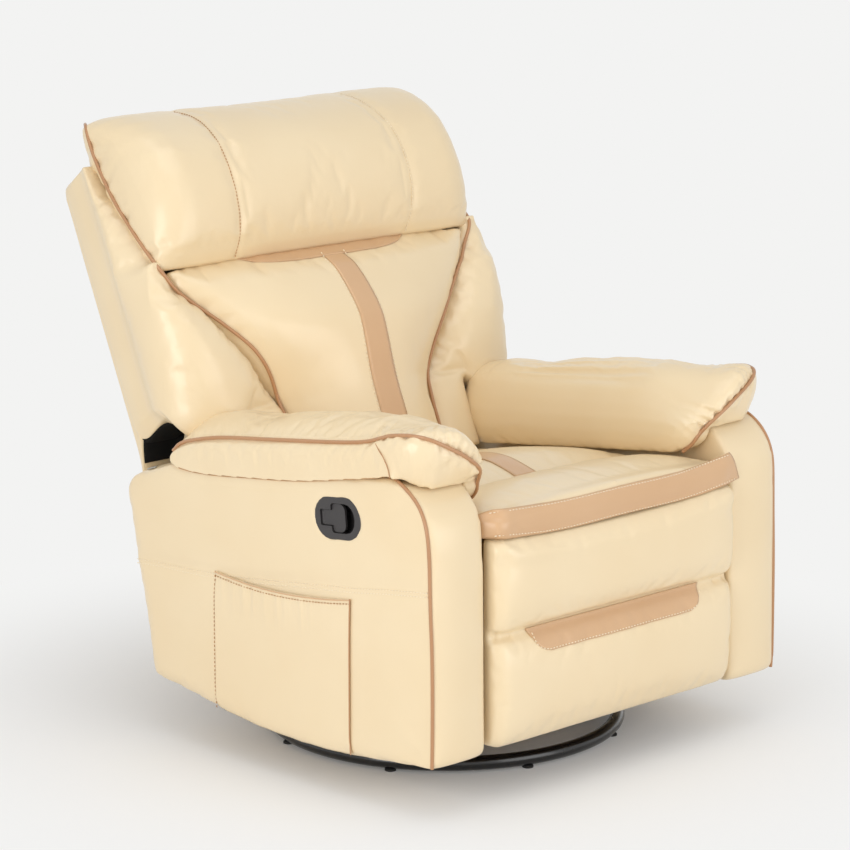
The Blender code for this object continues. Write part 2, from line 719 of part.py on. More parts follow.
frame_x0 = ARM_IN + (ARM_W - ARM_FRAME_T) / 2
frame_x1 = frame_x0 + ARM_FRAME_T
for name, side in SIDES:
    steps = ((ARM_IN, ARM_EDGE * 0.5), (ARM_IN + ARM_EDGE * 0.4, 0), (ARM_OUT - ARM_EDGE, 0),
             (ARM_OUT - ARM_EDGE * 0.3, ARM_EDGE * 0.35), (ARM_OUT, ARM_EDGE))
    loops = [[(side * x, p.x, p.y) for p in inset_outline(ARM_OUTLINE, depth)] for x, depth in steps]
    arm = node(f"arm_{name}", lofted(loops), rock, LEATHER)
    slot = side_prism(arm_frame_outline(GAP, 0.0), side * (frame_x0 - GAP), side * (frame_x1 + GAP))
    boolean(arm, node("slot", slot, rock, None), "DIFFERENCE")
    panel = side_prism(arm_frame_outline(0, FRAME_FOOT_Z), side * frame_x0, side * frame_x1)
    frame = node(f"arm_frame_{name}", panel, rock, WOOD, False)
    if side < 0:
        well = side_prism(handle_outline(CUP_L, CUP_H, CUP_R, GAP), -ARM_OUT - CUP_DEPTH, -ARM_OUT + CUP_DEPTH + GAP)
        boolean(arm, node("handle_well", well, rock, None), "DIFFERENCE")
        boolean(arm, cable_bore(rock), "DIFFERENCE")
        boolean(frame, cable_bore(rock), "DIFFERENCE")

# Arm pads: thick rolls on the arm tops that hang down the inner side to the seat


def seat_side_top(y):
    """Height of the seat's top along its sides."""
    share = (y - SEAT_FRONT_Y) / (SEAT_REAR_Y - SEAT_FRONT_Y)
    return SEAT_SIDE_FRONT_Z + share * (SEAT_SIDE_REAR_Z - SEAT_SIDE_FRONT_Z)


def pad_loop(side, y, full, high, drape, lean):
    """Section of an arm pad: its share of full width, height and drape, and how far its top tips forward."""
    crest = arm_top_line(y)
    under = crest
    for _ in range(8):
        under = max(arm_heights(y - lean * (under - crest))) + SOFT_GAP
    top = under + (crest + PAD_H - under) * high
    hang = under - (under - seat_side_top(y) - 2 * SOFT_GAP) * drape
    inner = ARM_IN - GAP

    def out(x):
        return PAD_TOP_X + (x - PAD_TOP_X) * full

    def into(x):
        return inner - (inner - x) * drape

    roll = under + (top - under) * PAD_ROLL / PAD_H
    soft = smooth_run(((out(ARM_OUT - 0.006), under), (out(ARM_OUT), (under + roll) / 2),
                       (out(ARM_OUT - 0.016), roll), (PAD_TOP_X, top), (into(ARM_IN - PAD_CREASE), top - 0.026 * high),
                       (into(PAD_INNER_X), under - 0.012 * drape), (into(PAD_INNER_X + 0.008), hang)))
    loop = [tuple(p) for p in soft] + [(inner, hang), (inner, under)]
    return [(side * x, y - lean * (z - crest), z) for x, z in loop]


pad_stations = [(PAD_REAR_Y, 0.55, 0.28, 0.03, 0), (PAD_REAR_Y - 0.006, 0.80, 0.42, 0.04, 0),
                (PAD_REAR_Y - 0.022, 0.95, 0.54, 0.05, 0), (PAD_REAR_Y - 0.045, 1, 0.68, 0.06, 0),
                (PAD_DRAPE_Y, 1, 0.80, 0.50, 0), (PAD_DRAPE_Y - 0.007, 1, 0.84, 0.80, 0),
                (PAD_DRAPE_Y - 0.022, 1, 0.90, 0.96, 0), (PAD_DRAPE_Y - 0.045, 1, 1, 1, 0)]
straight = 6
pad_from = PAD_DRAPE_Y - 0.045
pad_to = PAD_NOSE_Y + 0.06
for k in range(1, straight + 1):
    share = k / straight
    pad_stations.append((pad_from + share * (pad_to - pad_from), 1, 1, 1, PAD_LEAN * ease(share)))
for back_off, full in ((0.035, 0.97), (0.018, 0.88), (0.007, 0.72), (0.0, 0.48)):
    pad_stations.append((PAD_NOSE_Y + back_off, full, 0.35 + 0.65 * full, full, PAD_LEAN))
for name, side in SIDES:
    node(f"arm_pad_{name}", lofted([pad_loop(side, *station) for station in pad_stations]), rock, LEATHER)

# Seat cushion: crowned, with a rolled front lip over the footrest


def seat_loop(x):
    """Section of the seat cushion at a place across the chair."""
    share = abs(x) / SEAT_HALF
    crown = SEAT_CROWN * (1 - min(share / SEAT_CROWN_END, 1) ** 3)
    draw = 0.012 * max((share - 0.9) / 0.1, 0) ** 2
    front = SEAT_FRONT_Y + draw

    def top(y):
        return seat_side_top(y) + crown - draw

    soft = [(front + 0.005, SEAT_LIP_Z), (front, SEAT_LIP_Z + 0.018), (front + 0.006, top(front) - 0.008),
            (front + 0.030, top(front + 0.030))]
    span = SEAT_REAR_Y - 0.02 - soft[-1][0]
    soft += [(front + 0.030 + span * k / 4, top(front + 0.030 + span * k / 4)) for k in (1, 2, 3, 4)]
    soft += [(SEAT_REAR_Y - 0.004, top(SEAT_REAR_Y) - 0.012), (SEAT_REAR_Y, top(SEAT_REAR_Y) - 0.035)]
    under = RAIL_FRONT_Y + 0.012
    loop = [tuple(p) for p in smooth_run(soft, 2)]
    loop += [(SEAT_REAR_Y, rail_top(SEAT_REAR_Y) + GAP), (under, rail_top(under) + GAP), (SEAT_LIP_REAR_Y, SEAT_LIP_Z)]
    return [(x, y, z) for y, z in loop]


seat_shares = (-1, -0.97, -0.9, -0.7, -0.4, 0, 0.4, 0.7, 0.9, 0.97, 1)
node("seat_cushion", lofted([seat_loop(SEAT_HALF * s) for s in seat_shares]), rock, LEATHER)

# Mechanism plates on the side rails, with the rivets of the swing links and of the back
for name, side in SIDES:
    low = CROSS_Z + CROSS_SIZE + RIVET_HEAD_R
    eye = LINK_W * 0.8
    outline = rounded((
        (SWING_Y - eye, low, 0.010), (PIVOT_Y + eye, low, 0.010), (PIVOT_Y + eye, PIVOT_Z + eye, 0.018),
        (PIVOT_Y - eye, PIVOT_Z + eye, 0.018), (SEAT_REAR_Y + 0.012, rail_top(SEAT_REAR_Y) - 0.004, 0.004),
        (LATCH_Y + 0.03, rail_top(LATCH_Y) - 0.012, 0.02), (SWING_Y - eye, SWING_Z + 0.040, 0.015)))
    plate = node(f"mech_plate_{name}", side_prism(outline, side * MECH_X0, side * MECH_X1), rock, STEEL, False)
    middle = (MECH_X0 + MECH_X1) / 2
    boolean(plate, rivet(side, SWING_PIVOT, middle, SWING_X0 - GAP, rock), "UNION")
    boolean(plate, rivet(side, PIVOT, middle, POST_X0 - GAP, rock), "UNION")
    if side < 0:
        boolean(plate, rivet(side, LATCH, middle, SWING_X0 - GAP, rock), "UNION")
        boolean(plate, cable_bore(rock), "DIFFERENCE")

# Release: cable through the right arm and the latch that it turns
run = [CABLE_START.lerp(CABLE_END, k / 7) for k in range(8)]
wire("release_cable", run, CABLE_R, rock, PLASTIC, 2)
outline = rounded(((LATCH_Y + 0.014, LATCH_Z - 0.016, 0.010), (LATCH_Y + 0.008, LATCH_Z + 0.040, 0.006),
                   (LATCH_Y - 0.010, LATCH_Z + 0.038, 0.006), (LATCH_Y - 0.018, LATCH_Z - 0.002, 0.006),
                   (LATCH_Y - 0.050, LATCH_Z - 0.012, 0.004), (LATCH_Y - 0.050, LATCH_Z - 0.024, 0.004)))
hook = node("release_latch", side_prism(outline, -SWING_X0, -SWING_X1), latch, STEEL, False)
boolean(hook, bore(-1, LATCH, RIVET_R + GAP, SWING_X0, SWING_X1, latch), "DIFFERENCE")

# Footrest linkage: swing links joined by a torque tube, carry links, drive spring


def link(name, side, start, end, x0, x1, carrier):
    """Flat link with a hole at its start and a rivet at its end."""
    bar = node(name, side_prism(capsule(start, end, LINK_W / 2), side * x0, side * x1), carrier, STEEL, False)
    boolean(bar, bore(side, start, RIVET_R + GAP, x0, x1, carrier), "DIFFERENCE")
    holds_to = x0 - 2 * GAP - LINK_T
    return boolean(bar, rivet(side, end, (x0 + x1) / 2, holds_to, carrier), "UNION")


for name, side in SIDES:
    link(f"swing_link_{name}", side, SWING_PIVOT, ELBOW, SWING_X0, SWING_X1, swing)
    link(f"carry_link_{name}", side, ELBOW, ANKLE, CARRY_X0, CARRY_X1, carry)
tube_at = SWING_PIVOT + along(SWING_REST, TORQUE_REACH)
tube_end = SWING_X0 - GAP
node("torque_tube", side_prism(circle(tube_at, TORQUE_R, 12), -tube_end, tube_end), swing, STEEL)

spring_start = Vector((tube_at.x + TORQUE_R + GAP + DRIVE_SPRING_WIRE_R, tube_at.y))
spring_end = Vector((-ROCK_SPRING_Y - CROSS_SIZE / 2 - GAP - DRIVE_SPRING_WIRE_R, CROSS_Z + CROSS_SIZE / 2))
ahead = (spring_end - spring_start).normalized()
count = DRIVE_SPRING_TURNS * 8
points = []
for k in range(count + 1):
    turn = 2 * math.pi * k / 8
    middle = spring_start.lerp(spring_end, k / count)
    middle += DRIVE_SPRING_R * math.sin(turn) * Vector((-ahead.y, ahead.x))
    points.append((DRIVE_SPRING_R * math.cos(turn), *middle))
wire("footrest_spring", points, DRIVE_SPRING_WIRE_R, rock, STEEL)

# Footrest: board on two brackets and a channelled pad
board_half = FOOT_HALF - FOOT_BOARD_INSET
node("footrest_board", block((-board_half, BOARD_Y, FOOT_BOTTOM_Z + FOOT_BOARD_INSET),
                             (board_half, BOARD_Y + FOOT_BOARD_T, FOOT_TOP_Z - FOOT_BOARD_INSET)), foot, WOOD, False)
for name, side in SIDES:
    eye = LINK_W / 2
    outline = rounded(((FLANGE_Y, ANKLE.y - BRACKET_H / 2, 0), (ANKLE.x, ANKLE.y - eye, eye * 0.6),
                       (ANKLE.x + eye, ANKLE.y, eye * 0.9), (ANKLE.x, ANKLE.y + eye, eye * 0.6),
                       (FLANGE_Y, ANKLE.y + BRACKET_H / 2, 0)))
    bracket = node(f"footrest_bracket_{name}", side_prism(outline, side * BRACKET_X0, side * BRACKET_X1),
                   foot, STEEL, False)
    flange_x = sorted((side * BRACKET_X1, side * (BRACKET_X1 - BRACKET_FLANGE_W)))
    flange = block((flange_x[0], FLANGE_Y, ANKLE.y - BRACKET_H / 2),
                   (flange_x[1], FLANGE_Y + BRACKET_FLANGE_T, ANKLE.y + BRACKET_H / 2))
    boolean(bracket, node("flange", flange, foot, None, False), "UNION")
    boolean(bracket, bore(side, ANKLE, RIVET_R + GAP, BRACKET_X0, BRACKET_X1, foot), "DIFFERENCE")


def footrest_loop(x):
    """Section of the footrest pad: two swells with a sewn channel between them."""
    share = abs(x) / FOOT_HALF
    draw = 0.014 * max((share - 0.9) / 0.1, 0) ** 2
    shy = 0.004 * share ** 2
    front = FOOT_FRONT_Y + draw + shy
    lower = FOOT_CHANNEL_Z - FOOT_BOTTOM_Z
    upper = FOOT_TOP_Z - FOOT_CHANNEL_Z
    soft = ((front + 0.022, FOOT_BOTTOM_Z + draw / 2), (front + 0.008, FOOT_BOTTOM_Z + 0.10 * lower),
            (front + 0.002, FOOT_BOTTOM_Z + 0.45 * lower), (front + 0.004, FOOT_BOTTOM_Z + 0.85 * lower),
            (front + FOOT_CHANNEL_D, FOOT_CHANNEL_Z), (front + 0.003, FOOT_CHANNEL_Z + 0.13 * upper),
            (front, FOOT_CHANNEL_Z + 0.45 * upper), (front + 0.003, FOOT_CHANNEL_Z + 0.85 * upper),
            (front + 0.018, FOOT_TOP_Z - draw / 2))
    loop = [tuple(p) for p in smooth_run(soft, 3)]
    loop += [(FOOT_BACK_Y, FOOT_TOP_Z - draw / 2), (FOOT_BACK_Y, FOOT_BOTTOM_Z + draw / 2)]
    return [(x, y, z) for y, z in loop]


foot_shares = (-1, -0.975, -0.93, -0.75, -0.4, 0, 0.4, 0.75, 0.93, 0.975, 1)
node("footrest_pad", lofted([footrest_loop(FOOT_HALF * s) for s in foot_shares]), foot, LEATHER)

# Back: steel posts on the recline pivot, timber frame and rear panel
post_top = back_point(0, POST_LENGTH, -POST_SET_BACK)
for name, side in SIDES:
    outline = capsule(PIVOT, (post_top.y, post_top.z), POST_W / 2)
    post = node(f"back_post_{name}", side_prism(outline, side * POST_X0, side * POST_X1), recline, STEEL, False)
    boolean(post, bore(side, PIVOT, RIVET_R + GAP, POST_X0, POST_X1, recline), "DIFFERENCE")


def back_slab(outline, w0, w1):
    """Mesh of an outline (x, v) in the back's plane between two depths."""
    return lofted([[back_point(p[0], p[1], w) for p in outline] for w in (w0, w1)])


def window(v0, v1):
    """Opening of the back frame between two rails."""
    half = BACK_FRAME_HALF - BACK_STILE_W
    return node("window", back_slab(((-half, v0), (half, v0), (half, v1), (-half, v1)),
                                    -BACK_FRAME_T - 0.01, 0.01), recline, None, False)


frame_top = BACK_SHOULDER_V - SOFT_GAP
half = BACK_FRAME_HALF
frame = node("back_frame", back_slab(((-half, BACK_BOTTOM_V), (half, BACK_BOTTOM_V), (half, frame_top),
                                      (-half, frame_top)), -BACK_FRAME_T, 0), recline, WOOD, False)
middle_v = BACK_SEAM_V - BACK_RAIL_W / 2
boolean(frame, window(BACK_BOTTOM_V + BACK_RAIL_W, middle_v), "DIFFERENCE")
boolean(frame, window(middle_v + BACK_RAIL_W, frame_top - BACK_RAIL_W), "DIFFERENCE")
narrow = ARM_IN - 0.010
wide = BACK_HALF - 0.003
low_v = BACK_BOTTOM_V - 0.02
top_v = BACK_SHOULDER_V
r = REAR_PANEL_R
outline = rounded(((-narrow, low_v, r / 2), (narrow, low_v, r / 2), (narrow, BACK_LEDGE_V, 0), (wide, BACK_LEDGE_V, r / 2),
                   (wide, top_v, r), (-wide, top_v, r), (-wide, BACK_LEDGE_V, r / 2), (-narrow, BACK_LEDGE_V, 0)))
node("back_rear_panel", back_slab(outline, PANEL_W - REAR_PANEL_T, PANEL_W), recline, LEATHER)

# Back cushions: lumbar between two S-shaped seams, a bolster on each side, the head pillow over them


def seam_x(v):
    """Half width between the S-shaped seams at a height up the back."""
    rise = ease((v - BACK_BOTTOM_V - 0.04) / (BACK_SEAM_V - BACK_BOTTOM_V - 0.02))
    return LUMBAR_BOTTOM_X + (LUMBAR_TOP_X - LUMBAR_BOTTOM_X) * rise


def hang_down(v, w):
    """Drops the cushions' lower ends towards the seat at the front."""
    return v - 0.33 * w * (1 - ease((v - BACK_BOTTOM_V) / 0.075))


def lumbar_loop(v):
    """Section of the lumbar cushion at a height up the back."""
    half = seam_x(v) - 2 * SOFT_GAP
    top = ease((v - 0.6 * BACK_SEAM_V) / (0.4 * BACK_SEAM_V))
    crown = LUMBAR_CROWN_W - (LUMBAR_CROWN_W - LUMBAR_EDGE_W) * 0.55 * top
    steps = 14
    loop = [(-half, GAP)]
    for k in range(steps + 1):
        share = -1 + 2 * k / steps
        swell = (1 - abs(share) ** 2.4) ** 0.8
        loop.append((half * share, LUMBAR_EDGE_W + (crown - LUMBAR_EDGE_W) * swell))
    loop.append((half, GAP))
    return [back_point(u, hang_down(v, w), w) for u, w in loop]


lumbar_vs = [BACK_BOTTOM_V + (BACK_SEAM_V - SOFT_GAP - BACK_BOTTOM_V) * k / 12 for k in range(13)]
node("lumbar_cushion", lofted([lumbar_loop(v) for v in lumbar_vs]), recline, LEATHER)


def bolster_loop(side, v):
    """Section of a bolster: narrow between the arms, round the frame's side above, a wing by the pillow."""
    low = v < BACK_LEDGE_V - LEDGE_LIP
    wing = v > BACK_SEAM_V
    inner = BOLSTER_REAR_X if wing else seam_x(v) + SOFT_GAP
    floor = GAP if inner < BOLSTER_REAR_X else -SOFT_GAP
    if low:
        outer = PAD_INNER_X - 3 * SOFT_GAP
        reach = BOLSTER_LOW_W
        rear = [(outer, reach * h) for h in (0.60, 0.42, 0.22)]
        rear += [(outer - 0.006, GAP), ((inner + outer) / 2, GAP)]
    else:
        outer = BACK_HALF - 0.010 * ease(1 - (v - BACK_LEDGE_V) / 0.03)
        swell = ease((v - BACK_LEDGE_V) / 0.10) * (1 - ease((v - 0.78 * BACK_SEAM_V) / (0.22 * BACK_SEAM_V)))
        reach = BOLSTER_LOW_W + (BOLSTER_W - BOLSTER_LOW_W) * swell
        depth = BACK_FRAME_T if v >= BACK_LEDGE_V else -2 * SOFT_GAP
        side_w = 0.5 * wing_w(v) if wing else 0.55 * reach
        rear = [(outer, side_w), (outer, 0.03 - 0.95 * depth), (outer - 0.006, 0.012 - depth)]
        rear += [(outer - 0.022, -depth), (BOLSTER_REAR_X, -depth)]
    shape = ((0.0, 0.80), (0.30, 0.94), (0.65, 1.0), (0.92, 0.88))
    if wing:
        reach = wing_w(v)
        shape = ((0.0, 1.0), (0.35, 1.0), (0.70, 1.0), (0.95, 0.86))
    front = [(inner, floor)] + [(inner + share * (outer - inner), reach * high) for share, high in shape]
    corner = [(inner + 0.3 * (outer - inner) if low else BOLSTER_REAR_X, floor - GAP if wing else floor)]
    return [back_point(side * u, hang_down(v, max(w, 0)), w) for u, w in front + rear + corner]


bolster_vs = [BACK_BOTTOM_V, 0.075, 0.10, BACK_LEDGE_V - 2 * LEDGE_LIP, BACK_LEDGE_V - LEDGE_LIP / 2,
              BACK_LEDGE_V, BACK_LEDGE_V + 0.012, BACK_LEDGE_V + 0.03]
bolster_vs += [bolster_vs[-1] + (BACK_SEAM_V - bolster_vs[-1]) * k / 7 for k in range(1, 8)]
bolster_vs += [BACK_SEAM_V + SOFT_GAP + (BACK_SHOULDER_V - BACK_SEAM_V - SOFT_GAP) * k / 4 for k in range(5)]
for name, side in SIDES:
    node(f"bolster_{name}", lofted([bolster_loop(side, v) for v in bolster_vs]), recline, LEATHER)
node("head_pillow", lofted(PILLOW_LOOPS), recline, LEATHER)

# Handle: cup with a rim in the right arm, and the T-shaped paddle hinged at its stem
cup = handle_outline(CUP_L, CUP_H, CUP_R)
rim = handle_outline(HANDLE_L, HANDLE_H, HANDLE_R)
face = handle_outline(HANDLE_L, HANDLE_H, HANDLE_R, -0.002)
levels = ((cup, -ARM_OUT + CUP_DEPTH), (cup, -ARM_OUT - GAP), (rim, -ARM_OUT - GAP),
          (rim, -ARM_OUT - HANDLE_RIM_T / 2), (face, -ARM_OUT - HANDLE_RIM_T))
housing = node("handle_housing", lofted([[(x, p.x, p.y) for p in outline] for outline, x in levels]), rock, PLASTIC)


def paddle_outline(shrink, front):
    """T outline in the handle's plane: a stem at the rear and a blade, up to a given front."""
    stem_a = -PADDLE_MID - STEM_L + shrink
    neck_a = -PADDLE_MID + shrink
    stem_b = STEM_H / 2 - shrink
    blade_b = BLADE_H / 2 - shrink
    curve = 0.4 * (front - neck_a)
    corners = ((stem_a, -stem_b, 0.003), (neck_a, -stem_b, 0), (neck_a, -blade_b, 0.006), (front, -blade_b, curve),
               (front, blade_b, curve), (neck_a, blade_b, 0.006), (neck_a, stem_b, 0), (stem_a, stem_b, 0.003))
    return [handle_point(p.x, p.y) for p in rounded(corners, 4)]


cavity = side_prism(paddle_outline(0, -PADDLE_MID + BLADE_L + RECESS_L), -ARM_OUT - CUP_DEPTH,
                    -ARM_OUT + CUP_DEPTH - CUP_WALL)
boolean(housing, node("cavity", cavity, rock, None), "DIFFERENCE")
blade = side_prism(paddle_outline(SWING_CLEARANCE, -PADDLE_MID + BLADE_L), -ARM_OUT, -ARM_OUT + PADDLE_T)
paddle = node("handle_paddle", blade, lever, PLASTIC)
barrel_half = STEM_H / 2 - HINGE_R
ends = [handle_point(HINGE_A, b) for b in (-barrel_half, barrel_half)]
loops = [[(HINGE_X + p.x, end.x + p.y, end.y) for p in circle((0, 0), HINGE_R, 12)] for end in ends]
boolean(paddle, node("barrel", lofted(loops), lever, None), "UNION")

# Side pocket: a sheet sewn to the right arm along its sides and bottom, open at the top


def pocket_outline(hem, over):
    """Pocket's side-view outline, moved in by the hem and raised over its own mouth."""
    front = POCKET_FRONT_Y + hem
    rear = POCKET_REAR_Y - hem
    slant = POCKET_SLANT / (POCKET_TOP_Z - ARM_BELLY_Z)
    bottom = []
    for k in range(7):
        y = front + (rear - front) * k / 6
        bottom.append(Vector((y - slant * 0.1, min(arm_heights(y)) + POCKET_OVER_BELLY + hem)))
    rise = POCKET_RISE / 2
    top = [Vector((rear + POCKET_SLANT / 2, POCKET_TOP_Z - rise + over)),
           Vector((front + POCKET_SLANT / 2, POCKET_TOP_Z + rise + over))]
    return bottom + top


sheet = -ARM_OUT - POCKET_DEPTH
pocket = node("side_pocket", side_prism(pocket_outline(0, 0), sheet, -ARM_OUT - GAP), rock, LEATHER, False)
hollow = side_prism(pocket_outline(POCKET_HEM, 0.05), sheet + POCKET_SHEET, -ARM_OUT + 0.01)
boolean(pocket, node("pocket_hollow", hollow, rock, None, False), "DIFFERENCE")
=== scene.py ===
import math
import random

import bmesh
import bpy
from mathutils import Matrix, Vector, kdtree, noise
from mathutils.bvhtree import BVHTree


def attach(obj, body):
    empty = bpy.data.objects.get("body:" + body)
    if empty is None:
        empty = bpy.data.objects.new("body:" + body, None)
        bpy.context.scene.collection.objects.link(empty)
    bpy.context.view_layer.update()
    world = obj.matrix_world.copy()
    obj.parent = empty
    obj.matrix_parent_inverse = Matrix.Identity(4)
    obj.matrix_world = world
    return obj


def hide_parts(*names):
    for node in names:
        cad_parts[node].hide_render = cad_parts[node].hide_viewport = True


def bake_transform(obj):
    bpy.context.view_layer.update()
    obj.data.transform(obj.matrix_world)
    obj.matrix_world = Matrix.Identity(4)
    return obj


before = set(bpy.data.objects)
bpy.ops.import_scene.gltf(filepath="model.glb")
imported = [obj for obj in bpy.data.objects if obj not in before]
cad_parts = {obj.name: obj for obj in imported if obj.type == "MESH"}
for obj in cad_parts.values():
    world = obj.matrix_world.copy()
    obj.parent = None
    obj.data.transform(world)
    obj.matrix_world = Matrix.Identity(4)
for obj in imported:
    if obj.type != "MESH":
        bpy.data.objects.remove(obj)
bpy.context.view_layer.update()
scene = bpy.context.scene

# Camera
# The picture is a studio shot from the front, a little to the sitter's right,
# taken with a long lens from about chest height and turned slightly down.
camera = bpy.data.objects.new("camera", bpy.data.cameras.new("camera"))
scene.collection.objects.link(camera)
camera.data.lens = 141.9
camera.data.sensor_width = 36.0
camera.location = (-3.98358, -4.16016, 1.77641)
camera.rotation_euler = Vector((0.67871, 0.70283, -0.21303)).to_track_quat("-Z", "Y").to_euler()
scene.camera = camera

# Base ring
# A steel tube rolled into a hoop, welded shut and coated in gloss black.
# The chair turns above it, and rubber feet keep it off the floor.
SWIVEL_Y = -0.08647
RING_RADIUS, TUBE_RADIUS, RING_Z = 0.305, 0.0125, 0.0168


def linear(hex_colour):
    """A written sRGB colour as the linear values that a shader takes."""
    channels = [int(hex_colour[i:i + 2], 16) / 255 for i in (1, 3, 5)]
    return [c / 12.92 if c < 0.04045 else ((c + 0.055) / 1.055) ** 2.4 for c in channels] + [1.0]


def add(finish, kind, sockets=(), **settings):
    """Adds one node to a finish, with its settings, its sockets' values and its links."""
    node = finish.node_tree.nodes.new("ShaderNode" + kind)
    for setting, value in settings.items():
        setattr(node, setting, value)
    for socket, value in dict(sockets).items():
        if isinstance(value, bpy.types.NodeSocket):
            finish.node_tree.links.new(value, node.inputs[socket])
        else:
            node.inputs[socket].default_value = value
    return node


def new_finish(name):
    """An empty finish and the place on the piece that its patterns read."""
    finish = bpy.data.materials.new(name)
    finish.use_nodes = True
    finish.node_tree.nodes.clear()
    return finish, add(finish, "TexCoord").outputs["Object"]


def piece(name, shape, finish, body, slot, *nodes):
    """A finished mesh as an object that rides on a body and stands for its CAD nodes."""
    if isinstance(shape, bmesh.types.BMesh):
        mesh = bpy.data.meshes.new(name)
        shape.to_mesh(mesh)
        shape.free()
    else:
        mesh = shape
    mesh.materials.clear()
    mesh.materials.append(finish)
    mesh.polygons.foreach_set("use_smooth", [True] * len(mesh.polygons))
    made = bpy.data.objects.new(name, mesh)
    scene.collection.objects.link(made)
    if body:
        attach(made, body)
    if nodes:
        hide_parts(*nodes)
    return made


def dress(finish, *names, edge=0.0):
    """A finish for CAD nodes that keep their shape, with their edges broken by a small bevel."""
    for name in names:
        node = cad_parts[name]
        node.data.materials.clear()
        node.data.materials.append(finish)
        if edge:
            joined = node.modifiers.new("joined", "WELD")
            joined.merge_threshold = 0.00005
            broken = node.modifiers.new("broken edge", "BEVEL")
            broken.width = edge
            broken.segments = 2
            broken.limit_method = "ANGLE"
            broken.angle_limit = math.radians(40)
            broken.harden_normals = True


# Powder-coated steel, gloss black: a smooth hard film with a faint orange peel some 3 mm across
# that breaks up its reflections, and a little dust that greys it.
black_enamel, at = new_finish("black powder coat")
peel = add(black_enamel, "TexNoise", {"Vector": at, "Scale": 1 / 0.003, "Detail": 2.0})
dust = add(black_enamel, "TexNoise", {"Vector": at, "Scale": 1 / 0.06, "Detail": 5.0})
shade = add(black_enamel, "Mix", {0: dust.outputs["Fac"], 6: linear("#060607"), 7: linear("#121112")},
            data_type="RGBA")
gloss = add(black_enamel, "MapRange", {"Value": dust.outputs["Fac"], "To Min": 0.16, "To Max": 0.34})
skin = add(black_enamel, "Bump", {"Strength": 0.12, "Distance": 0.0004, "Height": peel.outputs["Fac"]})
coat = add(black_enamel, "BsdfPrincipled", {
    "Base Color": shade.outputs[2], "Roughness": gloss.outputs[0], "Normal": skin.outputs[0],
    "IOR": 1.5, "Coat Weight": 0.3, "Coat Roughness": 0.12})
add(black_enamel, "OutputMaterial", {"Surface": coat.outputs[0]})

hoop = bmesh.new()
upright = Matrix.Translation((RING_RADIUS, 0, 0)) @ Matrix.Rotation(math.pi / 2, 4, "X")
bmesh.ops.create_circle(hoop, segments=18, radius=TUBE_RADIUS, matrix=upright)
bmesh.ops.spin(hoop, geom=hoop.verts[:] + hoop.edges[:], cent=(0, 0, 0), axis=(0, 0, 1),
               angle=2 * math.pi, steps=128, use_merge=True)
bmesh.ops.remove_doubles(hoop, verts=hoop.verts, dist=0.00005)
bmesh.ops.recalc_face_normals(hoop, faces=hoop.faces)
bmesh.ops.translate(hoop, verts=hoop.verts, vec=(0, SWIVEL_Y, RING_Z))
piece("base_hoop", hoop, black_enamel, "base", "black_steel", "base_ring")

# Feet and cross bars
# Eight rubber buttons pressed under the hoop, and two flat steel bars welded across it.
# The bars carry the lower swivel plate with its pin.
# Moulded rubber: matt, dark grey, with a sandy bloom about a millimetre across.
black_rubber, at = new_finish("moulded black rubber")
bloom = add(black_rubber, "TexNoise", {"Vector": at, "Scale": 1 / 0.0012, "Detail": 3.0})
shade = add(black_rubber, "Mix", {0: bloom.outputs["Fac"], 6: linear("#161616"), 7: linear("#2A2928")},
            data_type="RGBA")
skin = add(black_rubber, "Bump", {"Strength": 0.3, "Distance": 0.0002, "Height": bloom.outputs["Fac"]})
grip = add(black_rubber, "BsdfPrincipled", {
    "Base Color": shade.outputs[2], "Roughness": 0.82, "IOR": 1.52, "Normal": skin.outputs[0]})
add(black_rubber, "OutputMaterial", {"Surface": grip.outputs[0]})
dress(black_rubber, *[f"base_foot_{i}" for i in range(1, 9)], edge=0.0012)
dress(black_enamel, "base_cross_bars", "swivel_lower_plate", edge=0.0008)

# Swivel and rocker
# Pressed plates turn on a ball bearing; the pedestal above holds the rocker shaft.
# Two coil springs stand on it under the cross tubes; they give as the seat rocks, but here they ride
# no body and stay still.
# Zinc-plated steel: bright grey with a slight yellow cast and cloudy plating some 15 mm across.
zinc_plate, at = new_finish("zinc plated steel")
cloud = add(zinc_plate, "TexNoise", {"Vector": at, "Scale": 1 / 0.015, "Detail": 6.0})
brush = add(zinc_plate, "TexNoise", {"Vector": at, "Scale": 1 / 0.0015, "Detail": 2.0})
shade = add(zinc_plate, "Mix", {0: cloud.outputs["Fac"], 6: linear("#9A9A96"), 7: linear("#C9C7BF")},
            data_type="RGBA")
gloss = add(zinc_plate, "MapRange", {"Value": cloud.outputs["Fac"], "To Min": 0.28, "To Max": 0.5})
skin = add(zinc_plate, "Bump", {"Strength": 0.1, "Distance": 0.0002, "Height": brush.outputs["Fac"]})
metal = add(zinc_plate, "BsdfPrincipled", {
    "Base Color": shade.outputs[2], "Metallic": 1.0, "Roughness": gloss.outputs[0],
    "Normal": skin.outputs[0]})
add(zinc_plate, "OutputMaterial", {"Surface": metal.outputs[0]})
dress(zinc_plate, "swivel_bearing", "rocker_shaft")
dress(black_enamel, "swivel_upper_plate", "rocker_pedestal", "rocker_ear_left", "rocker_ear_right",
      "cross_tube_front", "cross_tube_rear", edge=0.0008)
for spring in ("rocker_spring_front", "rocker_spring_rear"):
    coil = bmesh.new()
    coil.from_mesh(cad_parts[spring].data)
    bmesh.ops.remove_doubles(coil, verts=coil.verts, dist=0.00005)
    wound = piece(spring + "_coil", coil, zinc_plate, None, "zinc_steel", spring)
    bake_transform(wound)

